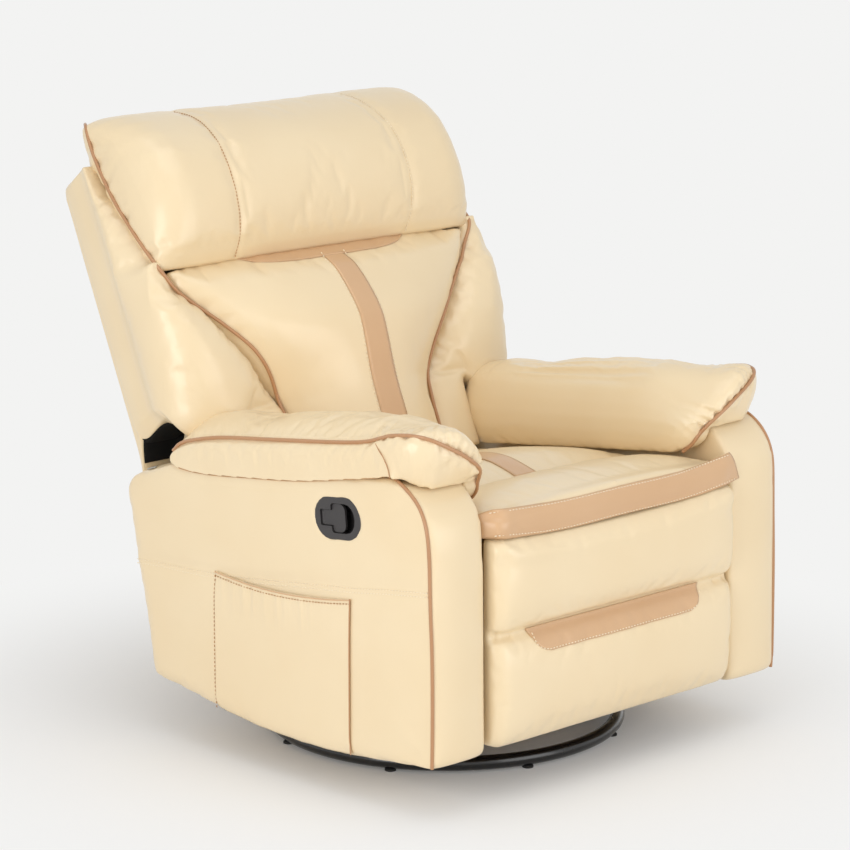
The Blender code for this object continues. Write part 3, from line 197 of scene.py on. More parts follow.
# Seat box
# Plywood rails screwed into a box that hangs on the rocker, with zigzag wire springs across it.
# The arms' inner frames and the footrest board are cut from the same sheet.
# Birch plywood: pale wood with a stretched grain about 4 mm wide running along the rails.
plywood, at = new_finish("birch plywood")
along = add(plywood, "Mapping", {"Vector": at, "Scale": (1.0, 0.08, 1.0)})
grain = add(plywood, "TexNoise", {"Vector": along.outputs[0], "Scale": 1 / 0.004, "Detail": 5.0,
                                  "Distortion": 0.6})
board = add(plywood, "TexNoise", {"Vector": at, "Scale": 1 / 0.15, "Detail": 2.0})
fleck = add(plywood, "Mix", {0: grain.outputs["Fac"], 6: linear("#B98F5C"), 7: linear("#DDBB88")},
            data_type="RGBA")
shade = add(plywood, "Mix", {0: board.outputs["Fac"], 6: fleck.outputs[2], 7: linear("#C9A26C")},
            data_type="RGBA")
skin = add(plywood, "Bump", {"Strength": 0.25, "Distance": 0.0003, "Height": grain.outputs["Fac"]})
wood = add(plywood, "BsdfPrincipled", {
    "Base Color": shade.outputs[2], "Roughness": 0.68, "IOR": 1.5, "Normal": skin.outputs[0]})
add(plywood, "OutputMaterial", {"Surface": wood.outputs[0]})
dress(plywood, "side_rail_left", "side_rail_right", "front_rail", "rear_rail", "arm_frame_left",
      "arm_frame_right", "footrest_board", "back_frame", edge=0.001)
dress(zinc_plate, "seat_spring_1", "seat_spring_2", "seat_spring_3")

# Recline mechanism
# Stamped zinc-plated plates and links riveted together, a torque tube across them,
# a drive spring, and the latch that the release cable lifts.
dress(zinc_plate, "mech_plate_left", "mech_plate_right", "swing_link_left", "swing_link_right",
      "carry_link_left", "carry_link_right", "footrest_bracket_left", "footrest_bracket_right",
      "back_post_left", "back_post_right", "release_latch", edge=0.0006)
dress(black_enamel, "torque_tube")
dress(zinc_plate, "footrest_spring")

# Moulded ABS, dark grey: a fine spark texture about half a millimetre across, drawn at 1.5 mm so
# that it shows, which keeps the gloss low.
dark_plastic, at = new_finish("moulded dark grey plastic")
spark = add(dark_plastic, "TexNoise", {"Vector": at, "Scale": 1 / 0.0015, "Detail": 3.0})
worn = add(dark_plastic, "TexNoise", {"Vector": at, "Scale": 1 / 0.02, "Detail": 4.0})
shade = add(dark_plastic, "Mix", {0: worn.outputs["Fac"], 6: linear("#2E2B2C"), 7: linear("#3D3A3A")},
            data_type="RGBA")
gloss = add(dark_plastic, "MapRange", {"Value": worn.outputs["Fac"], "To Min": 0.4, "To Max": 0.58})
skin = add(dark_plastic, "Bump", {"Strength": 0.2, "Distance": 0.0003, "Height": spark.outputs["Fac"]})
moulding = add(dark_plastic, "BsdfPrincipled", {
    "Base Color": shade.outputs[2], "Roughness": gloss.outputs[0], "IOR": 1.53,
    "Normal": skin.outputs[0]})
add(dark_plastic, "OutputMaterial", {"Surface": moulding.outputs[0]})
dress(dark_plastic, "release_cable")

# Arms
# Firm upholstered boxes with a bellied lower edge: leather over foam on a plywood frame.
# The front is a separate panel piped to the side, and a flat seam crosses the side.
# Polyurethane-coated leather, cream: an embossed pebble grain just under 2 mm across, soft creases
# some 12 mm apart, a slight unevenness of colour, and a low satin sheen from the coating.


def leather(name, light, dark):
    """Coated leather in one colour, with its grain and its faint creases."""
    finish, place = new_finish(name)
    pebble = add(finish, "TexVoronoi", {"Vector": place, "Scale": 1 / 0.0018})
    fold = add(finish, "TexNoise", {"Vector": place, "Scale": 1 / 0.012, "Detail": 4.0,
                                    "Distortion": 0.4})
    patch = add(finish, "TexNoise", {"Vector": place, "Scale": 1 / 0.16, "Detail": 2.0})
    tone = add(finish, "Mix", {0: patch.outputs["Fac"], 6: linear(light), 7: linear(dark)},
               data_type="RGBA")
    satin = add(finish, "MapRange", {"Value": fold.outputs["Fac"], "To Min": 0.30, "To Max": 0.42})
    grain = add(finish, "Bump", {"Strength": 0.10, "Distance": 0.0003,
                                 "Height": pebble.outputs["Distance"]})
    soft = add(finish, "Bump", {"Strength": 0.10, "Distance": 0.0010, "Height": fold.outputs["Fac"],
                                "Normal": grain.outputs[0]})
    hide = add(finish, "BsdfPrincipled", {
        "Base Color": tone.outputs[2], "Roughness": satin.outputs[0], "IOR": 1.48,
        "Normal": soft.outputs[0], "Coat Weight": 0.35, "Coat Roughness": 0.20})
    add(finish, "OutputMaterial", {"Surface": hide.outputs[0]})
    return finish


cream = leather("cream coated leather", "#F0DDBA", "#EAD3AB")
tan = leather("tan coated leather", "#D8B28A", "#CFA67C")
cord_tan = leather("piping leather", "#BF9068", "#B08058")


LINE_STEP = 0.003


def spaced(marks):
    """Points a few millimetres apart on the smooth line through some marks."""
    marks = [Vector(p) for p in marks]
    marks = [2 * marks[0] - marks[1], *marks, 2 * marks[-1] - marks[-2]]
    line = []
    for a, b, c, d in zip(marks, marks[1:], marks[2:], marks[3:]):
        count = max(2, round((c - b).length / LINE_STEP))
        for i in range(count):
            t = i / count
            line.append(0.5 * (2 * b + (c - a) * t + (2 * a - 5 * b + 4 * c - d) * t ** 2
                               + (3 * b - a - 3 * c + d) * t ** 3))
    return [*line, marks[-2]]


def finder(line):
    """A search tree for the nearest point of a line."""
    tree = kdtree.KDTree(len(line))
    for i, p in enumerate(line):
        tree.insert(p, i)
    tree.balance()
    return tree


CLOTH_FRAMES = 16


def as_seen(made):
    """An object's mesh with its modifiers or its bevel carried out."""
    return bpy.data.meshes.new_from_object(made.evaluated_get(bpy.context.evaluated_depsgraph_get()))


def smoothed(form, factor):
    """Draws each point of a form towards its neighbours, or away from them."""
    bmesh.ops.smooth_vert(form, verts=form.verts, factor=factor, use_axis_x=True, use_axis_y=True,
                          use_axis_z=True)


def covered(name, node, voxel, rounds, swell, seams=(), held=None, shape=None, slack=0.02, pressure=4.0,
            turn=0.0):
    """Leather over foam: a node's form rounded off, drawn in at its seams and blown up between them."""
    form = bmesh.new()
    form.from_mesh(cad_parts[node].data)
    bmesh.ops.remove_doubles(form, verts=form.verts, dist=0.00005)
    bmesh.ops.rotate(form, verts=form.verts, cent=(0, 0, 0), matrix=Matrix.Rotation(turn, 3, "X"))
    mesh = bpy.data.meshes.new(name)
    form.to_mesh(mesh)
    cover = bpy.data.objects.new(name, mesh)
    scene.collection.objects.link(cover)
    skin = cover.modifiers.new("skin", "REMESH")
    skin.mode = "VOXEL"
    skin.voxel_size = voxel
    cover.data = as_seen(cover)
    cover.modifiers.clear()
    form.clear()
    form.from_mesh(cover.data)
    bmesh.ops.rotate(form, verts=form.verts, cent=(0, 0, 0), matrix=Matrix.Rotation(-turn, 3, "X"))
    if shape:
        for v in form.verts:
            v.co = shape(v.co)
    for _ in range(rounds):
        smoothed(form, 0.5)
        smoothed(form, -0.52)
    form.normal_update()
    grip = [held(v.co) if held else 0.0 for v in form.verts]
    for marks, depth, width in seams:
        line = finder(spaced(marks))
        for i, v in enumerate(form.verts):
            far = line.find(v.co)[2]
            if far < 3 * width:
                pull = math.exp(-(far / width) ** 2)
                v.co -= v.normal * depth * pull
                grip[i] = max(grip[i], min(1.0, 1.6 * pull))
    form.to_mesh(cover.data)
    form.free()
    sewn = cover.vertex_groups.new(name="sewn")
    for i, g in enumerate(grip):
        if g > 0.02:
            sewn.add([i], g, "REPLACE")
    start = [v.co.copy() for v in cover.data.vertices]
    blown = cover.modifiers.new("blown", "CLOTH")
    blown.settings.quality = 4
    blown.settings.mass = 0.2
    blown.settings.tension_stiffness = 18
    blown.settings.compression_stiffness = 18
    blown.settings.shear_stiffness = 8
    blown.settings.bending_stiffness = 0.6
    blown.settings.use_pressure = True
    blown.settings.uniform_pressure_force = pressure
    blown.settings.shrink_min = -slack
    blown.settings.vertex_group_mass = "sewn"
    blown.settings.effector_weights.gravity = 0.0
    blown.collision_settings.use_collision = False
    blown.point_cache.frame_start = 1
    blown.point_cache.frame_end = CLOTH_FRAMES
    for f in range(1, CLOTH_FRAMES + 1):
        scene.frame_set(f)
    full = cover.evaluated_get(bpy.context.evaluated_depsgraph_get()).to_mesh()
    ends = [v.co.copy() for v in full.vertices]
    for v, a, b in zip(cover.data.vertices, start, ends):
        far = (b - a).length
        v.co = a + (b - a) * (swell * math.tanh(far / swell) / far if far > 1e-6 else 0.0)
    cover.modifiers.remove(blown)
    scene.frame_set(1)
    form = bmesh.new()
    form.from_mesh(cover.data)
    smoothed(form, 0.35)
    form.to_mesh(cover.data)
    form.free()
    cover.data.update()
    return cover


def gathered(cover, marks, depth, spacing, reach, side=None, seed=0, width=0.0042, slant=0.4):
    """Uneven folds that run off a seam, where the leather was drawn up to it."""
    line = spaced(marks)
    tree = finder(line)
    last = len(line) - 1
    draw = random.Random(seed)
    folds = []
    along = 0.0
    while along < LINE_STEP * last:
        along += spacing * draw.uniform(0.45, 1.5)
        deep = draw.uniform(0.25, 1.0)
        length = reach * draw.uniform(0.4, 1.7)
        folds.append((along, deep, length, draw.uniform(-slant, slant)))
    facing = [n.vector.copy() for n in cover.data.vertex_normals]
    for v, n in zip(cover.data.vertices, facing):
        near, i, far = tree.find(v.co)
        if far > 5 * reach or (side and (v.co - near).dot(Vector(side)) < 0):
            continue
        dip = 0.0
        for place, deep, length, lean in folds:
            across = (LINE_STEP * i - place - lean * far) / width
            if abs(across) < 3:
                fold = math.exp(-across ** 2) - 0.35 * math.exp(-(across / 2) ** 2)
                dip += deep * fold * math.exp(-far / length)
        v.co -= n * depth * dip * min(1.0, far / 0.004, i / 6, (last - i) / 6)


def upholstered(cover, finish, body, fill, *nodes):
    """A cover given its finish, smoothed by one subdivision and put on a body in place of its CAD nodes.
    """
    cover.data.materials.clear()
    cover.data.materials.append(finish)
    cover.data.polygons.foreach_set("use_smooth", [True] * len(cover.data.polygons))
    cover.vertex_groups.clear()
    rounder = cover.modifiers.new("rounder", "SUBSURF")
    rounder.levels = 1
    rounder.render_levels = 1
    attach(cover, body)
    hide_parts(*nodes)
    return cover


def other_side(cover, name, finish, body, fill, *nodes):
    """The mirror image of a cover, for the chair's other side."""
    form = bmesh.new()
    form.from_mesh(cover.data)
    bmesh.ops.scale(form, verts=form.verts, vec=(-1, 1, 1))
    bmesh.ops.reverse_faces(form, faces=form.faces)
    mesh = bpy.data.meshes.new(name)
    form.to_mesh(mesh)
    form.free()
    twin = bpy.data.objects.new(name, mesh)
    scene.collection.objects.link(twin)
    return upholstered(twin, finish, body, fill, *nodes)


DROP = 0.06


def laid(line, covers, out, radius, sink=0.0):
    """A line let down on some covers, so that a cord of that radius rests on them, less its sink."""
    graph = bpy.context.evaluated_depsgraph_get()
    trees = [BVHTree.FromObject(c, graph) for c in covers]
    facing = [Vector(out(p)).normalized() if callable(out) else Vector(out).normalized() for p in line]
    heights = []
    for i, p in enumerate(line):
        ahead = line[min(i + 1, len(line) - 1)] - line[max(i - 1, 0)]
        across = ahead.cross(facing[i]).normalized()
        best = None
        for share in (-1, -0.7, -0.35, 0, 0.35, 0.7, 1):
            begin = p + facing[i] * DROP + across * radius * share
            for tree in trees:
                hit = tree.ray_cast(begin, -facing[i], 2 * DROP)
                if hit[0] is not None:
                    height = DROP - hit[3] + radius * math.sqrt(max(0.0, 1 - share ** 2))
                    best = height if best is None else max(best, height)
        heights.append(best)
    for i, p in enumerate(line):
        if heights[i] is None:
            near = min((t.find_nearest(p) for t in trees), key=lambda h: h[3])
            facing[i] = (p - near[0]).normalized() if near[3] > 1e-6 else facing[i]
            heights[i] = radius - near[3]
    even = []
    for i in range(len(line)):
        near = heights[max(0, i - 6):i + 7]
        even.append(sum(near) / len(near))
    return [p + d * (h - sink) for p, d, h in zip(line, facing, even)]


def tube(line, radius):
    """A round cord along a line, as a mesh."""
    curve = bpy.data.curves.new("cord", "CURVE")
    curve.dimensions = "3D"
    curve.bevel_depth = radius
    curve.bevel_resolution = 3
    curve.use_fill_caps = True
    run = curve.splines.new("POLY")
    run.points.add(len(line) - 1)
    for point, p in zip(run.points, line):
        point.co = (*p, 1.0)
    holder = bpy.data.objects.new("cord", curve)
    scene.collection.objects.link(holder)
    mesh = as_seen(holder)
    bpy.data.objects.remove(holder)
    bpy.data.curves.remove(curve)
    return mesh


def both_sides(mesh):
    """A mesh with its own mirror image added, for trim that both sides have."""
    form = bmesh.new()
    form.from_mesh(mesh)
    twin = bmesh.ops.duplicate(form, geom=form.verts[:] + form.edges[:] + form.faces[:])["geom"]
    bmesh.ops.scale(form, verts=[g for g in twin if isinstance(g, bmesh.types.BMVert)], vec=(-1, 1, 1))
    bmesh.ops.reverse_faces(form, faces=[g for g in twin if isinstance(g, bmesh.types.BMFace)])
    return form


def stitches(lines, length=0.0052, pitch=0.0072, thick=0.0010):
    """Lockstitches sunk into the leather along some lines: short thread spindles end to end."""
    form = bmesh.new()
    bmesh.ops.create_uvsphere(form, u_segments=5, v_segments=4, radius=1,
                              matrix=Matrix.Diagonal((length / 2, thick, thick, 1)))
    spindle = bpy.data.meshes.new("spindle")
    form.to_mesh(spindle)
    form.clear()
    for line in lines:
        gone, due = 0.0, 0.0
        for a, b in zip(line, line[1:]):
            while gone + (b - a).length > due:
                place = a.lerp(b, (due - gone) / max((b - a).length, 1e-9))
                there = Matrix.Translation(place) @ (b - a).to_track_quat("X", "Z").to_matrix().to_4x4()
                spindle.transform(there)
                form.from_mesh(spindle, face_normals=False, vertex_normals=False)
                spindle.transform(there.inverted())
                due += pitch
            gone += (b - a).length
    bpy.data.meshes.remove(spindle)
    form.normal_update()
    return form


# Bonded nylon thread: pale, with a slight lustre and a twist about a millimetre long.
def thread(name, colour):
    """Sewing thread in one colour."""
    finish, place = new_finish(name)
    twist = add(finish, "TexWave", {"Vector": place, "Scale": 1 / 0.001 / 6.283, "Distortion": 1.0},
                bands_direction="DIAGONAL")
    skin = add(finish, "Bump", {"Strength": 0.3, "Distance": 0.0001, "Height": twist.outputs["Fac"]})
    yarn = add(finish, "BsdfPrincipled", {
        "Base Color": linear(colour), "Roughness": 0.45, "IOR": 1.53, "Normal": skin.outputs[0]})
    add(finish, "OutputMaterial", {"Surface": yarn.outputs[0]})
    return finish


pale_thread = thread("pale sewing thread", "#F2E2C6")
tan_thread = thread("tan sewing thread", "#B98A5E")

SIDE_SEAM = [(-0.421, 0.248, 0.307), (-0.421, 0.188, 0.312), (-0.421, 0.081, 0.317),
             (-0.421, -0.049, 0.329), (-0.421, -0.174, 0.345), (-0.421, -0.296, 0.360),
             (-0.421, -0.386, 0.374), (-0.421, -0.476, 0.386)]
ARM_PIPING = [(-0.420, -0.372, 0.566), (-0.420, -0.402, 0.557), (-0.420, -0.431, 0.543),
              (-0.420, -0.456, 0.522), (-0.420, -0.472, 0.491), (-0.420, -0.479, 0.444),
              (-0.420, -0.482, 0.360), (-0.420, -0.486, 0.278), (-0.420, -0.487, 0.190),
              (-0.420, -0.486, 0.096)]
ARM_CORD = 0.0031
SIDE_OUT = (-1, 0, 0)
HANDLE_Y, HANDLE_Z = SWIVEL_Y - 0.183, 0.472
HANDLE_LONG, HANDLE_HIGH, HANDLE_SUNK = 0.046, 0.027, 0.022


def ease(value, low, high):
    """From 0 to 1 as a value goes from low to high, without a corner."""
    t = min(1.0, max(0.0, (value - low) / (high - low)))
    return t * t * (3 - 2 * t)


def arm_form(p):
    """The arm, its front panel padded out."""
    full = 0.008 * ease(p.y, -0.44, -0.485) * max(0.0, 1 - ((p.x + 0.36) / 0.060) ** 2)
    return Vector((p.x, p.y - full, p.z))


arm_right = covered("arm_right_cover", "arm_right", 0.0072, 3, 0.004,
                    [(SIDE_SEAM, 0.0006, 0.006), (ARM_PIPING, 0.0015, 0.007)],
                    held=lambda p: 1.0 if p.x > -0.306 else 0.0, shape=arm_form, slack=0.0, pressure=1.0)
upholstered(arm_right, cream, "chair", 0.9, "arm_right")
other_side(arm_right, "arm_left_cover", cream, "chair", 0.9, "arm_left")
for v in arm_right.data.vertices:
    from_handle = math.hypot((v.co.y - HANDLE_Y) / HANDLE_LONG, (v.co.z - HANDLE_Z) / HANDLE_HIGH)
    if v.co.x < -0.38:
        v.co.x += HANDLE_SUNK * min(1.0, max(0.0, (1.15 - from_handle) / 0.3))
edge = laid(spaced(ARM_PIPING), [arm_right], (-0.7, -0.7, 0.12), ARM_CORD, 0.0018)
piece("arm_piping", both_sides(tube(edge, ARM_CORD)), cord_tan, "chair", "leather")
seam = laid(spaced(SIDE_SEAM), [arm_right], SIDE_OUT, 0.0004)
rows = bpy.data.meshes.new("rows")
stitches([seam, [p + Vector((0, 0, -0.007)) for p in seam]]).to_mesh(rows)
piece("arm_side_stitches", both_sides(rows), pale_thread, "chair", "leather")

# Seat cushion
# A foam cushion in leather on the springs: a crowned rear part, a front part sewn to it across the
# seat, a tan stripe down the middle of the rear part, and a stitched tan strip along its front edge.
CROSS_SEAM = [(-0.29, -0.280, 0.478), (-0.15, -0.284, 0.484), (0, -0.286, 0.486), (0.15, -0.284, 0.484),
              (0.29, -0.280, 0.478)]


def seat_form(p):
    """The seat, its rear part crowned behind the cross seam."""
    crown = ease(p.y, -0.285, -0.215) * ease(p.y, 0.12, -0.10) * ease(p.z, 0.45, 0.47)
    sag = ease(p.y, -0.40, -0.46) * ease(p.z, 0.44, 0.47)
    flank = max(0.0, 1 - (p.x / 0.29) ** 4)
    clear = 0.007 * ease(-p.x, 0.20, 0.285) * ease(p.y, -0.42, -0.47)
    return Vector((p.x + clear, p.y, p.z + flank * (0.012 * crown - 0.006 * sag)))


def seat_held(p):
    """How firmly the seat's cover is held: below, along its front edge and beside the arms."""
    return max(ease(p.z, 0.46, 0.41), ease(p.y, -0.43, -0.485), 0.85 * ease(abs(p.x), 0.26, 0.296))


seat = covered("seat_cover", "seat_cushion", 0.0066, 16, 0.016, [(CROSS_SEAM, 0.009, 0.008)],
               held=seat_held, shape=seat_form, slack=0.01, pressure=5.0)
upholstered(seat, cream, "chair", 0.7, "seat_cushion")


def patched(columns, rows, place, covers, out, lift=0.0006, thick=0.0012, flat=False):
    """A flat piece of leather sewn on to some covers: a grid shaped by place(across, along)."""
    graph = bpy.context.evaluated_depsgraph_get()
    trees = [BVHTree.FromObject(c, graph) for c in covers]
    out = Vector(out).normalized()
    form = bmesh.new()
    bmesh.ops.create_grid(form, x_segments=columns, y_segments=rows, size=1.0)
    for v in form.verts:
        p = Vector(place(v.co.x, v.co.y))
        hits = [t.ray_cast(p + out * DROP, -out, 2 * DROP) for t in trees]
        hits = [h for h in hits if h[0] is not None]
        rise = lift(v.co.x, v.co.y) if callable(lift) else lift
        v.co = min(hits, key=lambda h: h[3])[0] + out * rise if hits else p
        if flat and (p - v.co).dot(out) > 0:
            v.co = p
    smoothed(form, 0.3)
    bmesh.ops.recalc_face_normals(form, faces=form.faces)
    if sum((f.normal.dot(out) for f in form.faces)) < 0:
        bmesh.ops.reverse_faces(form, faces=form.faces)
    bmesh.ops.solidify(form, geom=form.faces[:], thickness=-thick)
    bmesh.ops.recalc_face_normals(form, faces=form.faces)
    return form


stripe = patched(8, 60, lambda a, b: (0.026 * a, -0.105 + 0.180 * b, 0.47), [seat], (0, 0, 1))
piece("seat_stripe", stripe, tan, "chair", "leather")


STRIP_OUT = (0, -1, 0.25)


def strip_place(a, b):
    """The tan strip: one end turned in beside the arm, the other cut aslant and lapped over the arm."""
    along = (0.2975 if a < 0 else 0.292 + 0.0115 * (1 - b)) * a
    back = 0.0075 * max(0.0, (along - 0.27) / 0.045) + 0.030 * ease(-along, 0.262, 0.300)
    sway = 0.0012 * math.sin(6 * a + 1.0) - 0.008 * (1 - a * a) + 0.004 * ease(a, 0.6, 1.0)
    drop = 0.012 * max(0.0, b) * ease(-along, 0.272, 0.298)
    return (along, -0.4960 + back + 0.008 * max(0.0, b) ** 3, 0.4755 + 0.0245 * b + sway - drop)


def strip_lift(a, b):
    """How far the strip stands off the seat: more where its end is turned in."""
    return 0.0010 + 0.0045 * ease(-a, 0.80, 0.93)


strip = patched(90, 12, strip_place, [seat], STRIP_OUT, strip_lift, 0.0014, True)
front_strip = piece("seat_front_strip", strip, tan, "chair", "leather")
strip_rows = []
for edge in (0.88, -0.88):
    marks = [strip_place(a, edge) for a in (-0.96, -0.5, 0, 0.5, 0.96)]
    strip_rows.append(laid(spaced(marks), [front_strip], STRIP_OUT, 0.0004))
cross = laid([p + Vector((0, -0.006, 0)) for p in spaced(CROSS_SEAM)], [seat], (0, 0, 1), 0.0004)
piece("seat_stitches", stitches([*strip_rows, cross]), pale_thread, "chair", "leather")

# Arm pads
# Stuffed rolls sewn along the top of each arm: an upper panel that hangs over the seat side, a side
# band, and tan piping between them that curls round the nose, with gathers where the panel is eased.
PAD_PIPING = [(-0.408, 0.172, 0.505), (-0.410, 0.145, 0.526), (-0.412, 0.097, 0.542),
              (-0.412, 0.030, 0.556), (-0.410, -0.094, 0.573), (-0.408, -0.218, 0.589),
              (-0.405, -0.295, 0.600), (-0.401, -0.353, 0.612), (-0.397, -0.412, 0.621),
              (-0.372, -0.455, 0.614), (-0.323, -0.469, 0.590), (-0.284, -0.462, 0.562),
              (-0.260, -0.451, 0.532), (-0.245, -0.437, 0.502), (-0.236, -0.421, 0.484)]
NOSE_PIPING = PAD_PIPING[6:15]
PAD_HEM = [(-0.423, 0.172, 0.500), (-0.423, 0.138, 0.490), (-0.423, 0.067, 0.489),
           (-0.423, -0.044, 0.501), (-0.423, -0.171, 0.517), (-0.423, -0.296, 0.541),
           (-0.423, -0.392, 0.560)]
PAD_TUCK = [(-0.406, -0.352, 0.608), (-0.423, -0.380, 0.592), (-0.423, -0.388, 0.575),
            (-0.423, -0.392, 0.560)]
CORD = 0.0032
hem_line = spaced(PAD_HEM)


def arm_top(y):
    """The height of the arm's flat top under the pad, which falls towards the rear."""
    return 0.494 + (0.246 - y + SWIVEL_Y) * 0.1142


def pad_form(p):
    """The pad: low at the rear, tipped up at the nose's outer corner, its hem drawn over the arm."""
    nose = ease(p.y, -0.30, -0.45)
    rear = ease(p.y, -0.16, 0.10)
    high = ease(p.z, 0.53, 0.62)
    z = p.z + nose * high * 0.58 * (-p.x - 0.356) - rear * high * 0.020
    z += 0.006 * high * ease(p.y, 0.02, -0.18) * ease(p.y, -0.46, -0.34) * ease(-p.x, 0.30, 0.37)
    x = p.x - 0.004 * nose * high
    top = arm_top(p.y)
    outer = ease(-x, 0.400, 0.416) * ease(z, top + 0.030, top + 0.004)
    if outer > 0 and p.y > -0.40:
        hem = min(hem_line, key=lambda h: abs(h.y - p.y)).z
        z -= outer * max(0.0, top + 0.004 - hem)
        x = min(x, x + outer * (-0.4225 - x))
    tail = ease(p.y, 0.05, 0.17) * ease(-p.x, 0.38, 0.33)
    x += 0.008 * nose * ease(-p.x, 0.32, 0.25)
    return Vector((x, p.y + 0.042 * tail - 0.008 * ease(p.y, -0.40, -0.455), z))


def pad_held(p):
    """How firmly the pad's cover is held: where it rests on the arm."""
    return 0.9 if p.x < -0.31 and p.z < arm_top(p.y) + 0.011 else 0.0


pad_right = covered("arm_pad_right_cover", "arm_pad_right", 0.0043, 6, 0.010,
                    [(PAD_PIPING, 0.004, 0.006)], held=pad_held, shape=pad_form, slack=0.024, pressure=6.0)


def pad_outward(p):
    """Which way the pad's leather faces beside its piping."""
    return Vector((p.x + 0.34, min(0.0, p.y + 0.37) * 1.2, (p.z - 0.555) * 0.8)).normalized()


roll = laid(spaced(PAD_PIPING), [pad_right], pad_outward, CORD, 0.0019)
gathered(pad_right, NOSE_PIPING, 0.0165, 0.0135, 0.015, (0.3, 0.3, 1), 4, 0.0044)
gathered(pad_right, NOSE_PIPING, 0.006, 0.032, 0.024, (-0.3, -0.3, -1), 9, 0.0080, 1.2)
upholstered(pad_right, cream, "chair", 0.8, "arm_pad_right")
other_side(pad_right, "arm_pad_left_cover", cream, "chair", 0.8, "arm_pad_left")
hem = laid(hem_line, [pad_right, arm_right], SIDE_OUT, 0.0007, 0.0002)
tuck = laid(spaced(PAD_TUCK), [pad_right, arm_right], SIDE_OUT, 0.0007, -0.0008)
seams = bpy.data.meshes.new("seams")
form = bmesh.new()
form.from_mesh(tube(hem, 0.0008))
form.from_mesh(tube(tuck, 0.0008))
form.to_mesh(seams)
form.free()
piece("arm_pad_seams", both_sides(seams), tan_thread, "chair", "leather")
piece("arm_pad_piping", both_sides(tube(roll, CORD)), cord_tan, "chair", "leather")

# Side pocket
# A flat leather pocket sewn to the outside of the arm with the handle, open along its gathered top.
# Its top is hemmed, its front edge carries a thin darker tan cord, partly a binding and partly painted
# shadow for the gap at that edge, and its rear edge is stitched down.
POCKET_Y, POCKET_HALF = SWIVEL_Y - 0.045, 0.169


def arm_bottom(y):
    """The lowest height at which the arm's side is met, at a place along it."""
    tree = BVHTree.FromObject(arm_right, bpy.context.evaluated_depsgraph_get())
    z = 0.04
    while tree.ray_cast(Vector((-0.6, y, z)), Vector((1, 0, 0)), 0.19)[0] is None and z < 0.3:
        z += 0.002
    return z


BELLY = [arm_bottom(POCKET_Y + POCKET_HALF * k / 8) for k in range(-8, 9)]


def pocket_place(a, b):
    """The pocket's outline: a top edge that sags, and a foot that follows the arm's belly."""
    at = min(15.999, max(0.0, 8 * (a + 1)))
    foot = BELLY[int(at)] + (BELLY[int(at) + 1] - BELLY[int(at)]) * (at - int(at)) + 0.003
    top = 0.3345 - 0.0085 * a - 0.011 * (1 - a * a)
    return (-0.4235, POCKET_Y + POCKET_HALF * a, foot + (top - foot) * 0.5 * (b + 1))


def pocket_lift(a, b):
    """How far the pocket stands off the arm: open along its top, with short gathers under the edge."""
    open_top = 0.0042 * (1 - a * a) * ease(b, 0.2, 1.0)
    folds = 0.0030 * math.sin(38 * a + 3 * noise.noise((5 * a, 0.2, 0)))
    folds *= ease(b, 0.35, 0.9) * ease(b, 1.02, 0.93)
    return 0.0012 + open_top + folds * (1 - a * a) * (0.4 + noise.noise((9 * a, 2.0, 0.5)))


pouch = patched(110, 80, pocket_place, [arm_right], SIDE_OUT, pocket_lift, 0.0014)
pocket = piece("side_pocket_cover", pouch, cream, "chair", "leather", "side_pocket")
marks = [pocket_place(k / 10, 0.985) for k in range(-10, 11)]
hem_top = laid(spaced(marks), [pocket, arm_right], SIDE_OUT, 0.0012, 0.0006)
marks = [pocket_place(-1, k / 4) for k in range(-4, 5)]
front_edge = laid(spaced(marks), [pocket, arm_right], SIDE_OUT, 0.0012, 0.0004)
marks = [pocket_place(1, k / 4) for k in range(-4, 5)]
rear_edge = laid(spaced(marks), [pocket, arm_right], SIDE_OUT, 0.0006, 0.0003)
# A darker tan cord down the pocket's front edge: partly binding, partly painted shadow of the gap there.
piece("pocket_front_shade_cord", tube(front_edge, 0.0012), cord_tan, "chair", "leather")
piece("pocket_rear_stitches", stitches([rear_edge, [p + Vector((-0.0008, 0, -0.006)) for p in hem_top]]),
      tan_thread, "chair", "leather")
piece("pocket_hem", tube(hem_top, 0.0012), tan, "chair", "leather")

# Handle
# A moulded housing let into the arm and a T-shaped paddle that pivots in it; pulling the paddle
# draws the release cable.
dress(dark_plastic, "handle_housing", "handle_paddle", edge=0.0008)

# Footrest
# A foam pad on a plywood board: an upper and a lower roll parted by a sewn channel, with a tan tab
# stitched under the channel.
CHANNEL = [(-0.29, -0.486, 0.287), (-0.15, -0.496, 0.287), (0, -0.498, 0.287), (0.15, -0.496, 0.287),
           (0.29, -0.486, 0.287)]


def footrest_form(p):
    """The footrest pad, filled out to the arm's side."""
    full = 0.008 * ease(p.z, 0.40, 0.44) * ease(p.y, -0.47, -0.50)
    wide = p.x * (1 + 0.012 * ease(p.x, 0.0, 0.28) - 0.024 * ease(-p.x, 0.10, 0.28))
    dip = (0.006 - 0.007 * max(0.0, 1 - (p.x / 0.29) ** 2)) * ease(p.z, 0.38, 0.44)
    return Vector((wide, p.y - full, p.z + dip))


footpad = covered("footrest_cover", "footrest_pad", 0.0058, 2, 0.007, [(CHANNEL, 0.014, 0.0070)],
                  held=lambda p: ease(p.y, -0.490, -0.475), shape=footrest_form, slack=0.01, pressure=4.0)
upholstered(footpad, cream, "footrest", 0.8, "footrest_pad")


def tab_place(a, b):
    """The tan tab's outline: a bar with rounded lower corners."""
    drop = 0.5 * (1 - b)
    half = 0.212 - 0.022 * drop - 0.020 * max(0.0, (drop - 0.55) / 0.45) ** 3
    return (half * a, -0.50, 0.290 - 0.041 * drop)


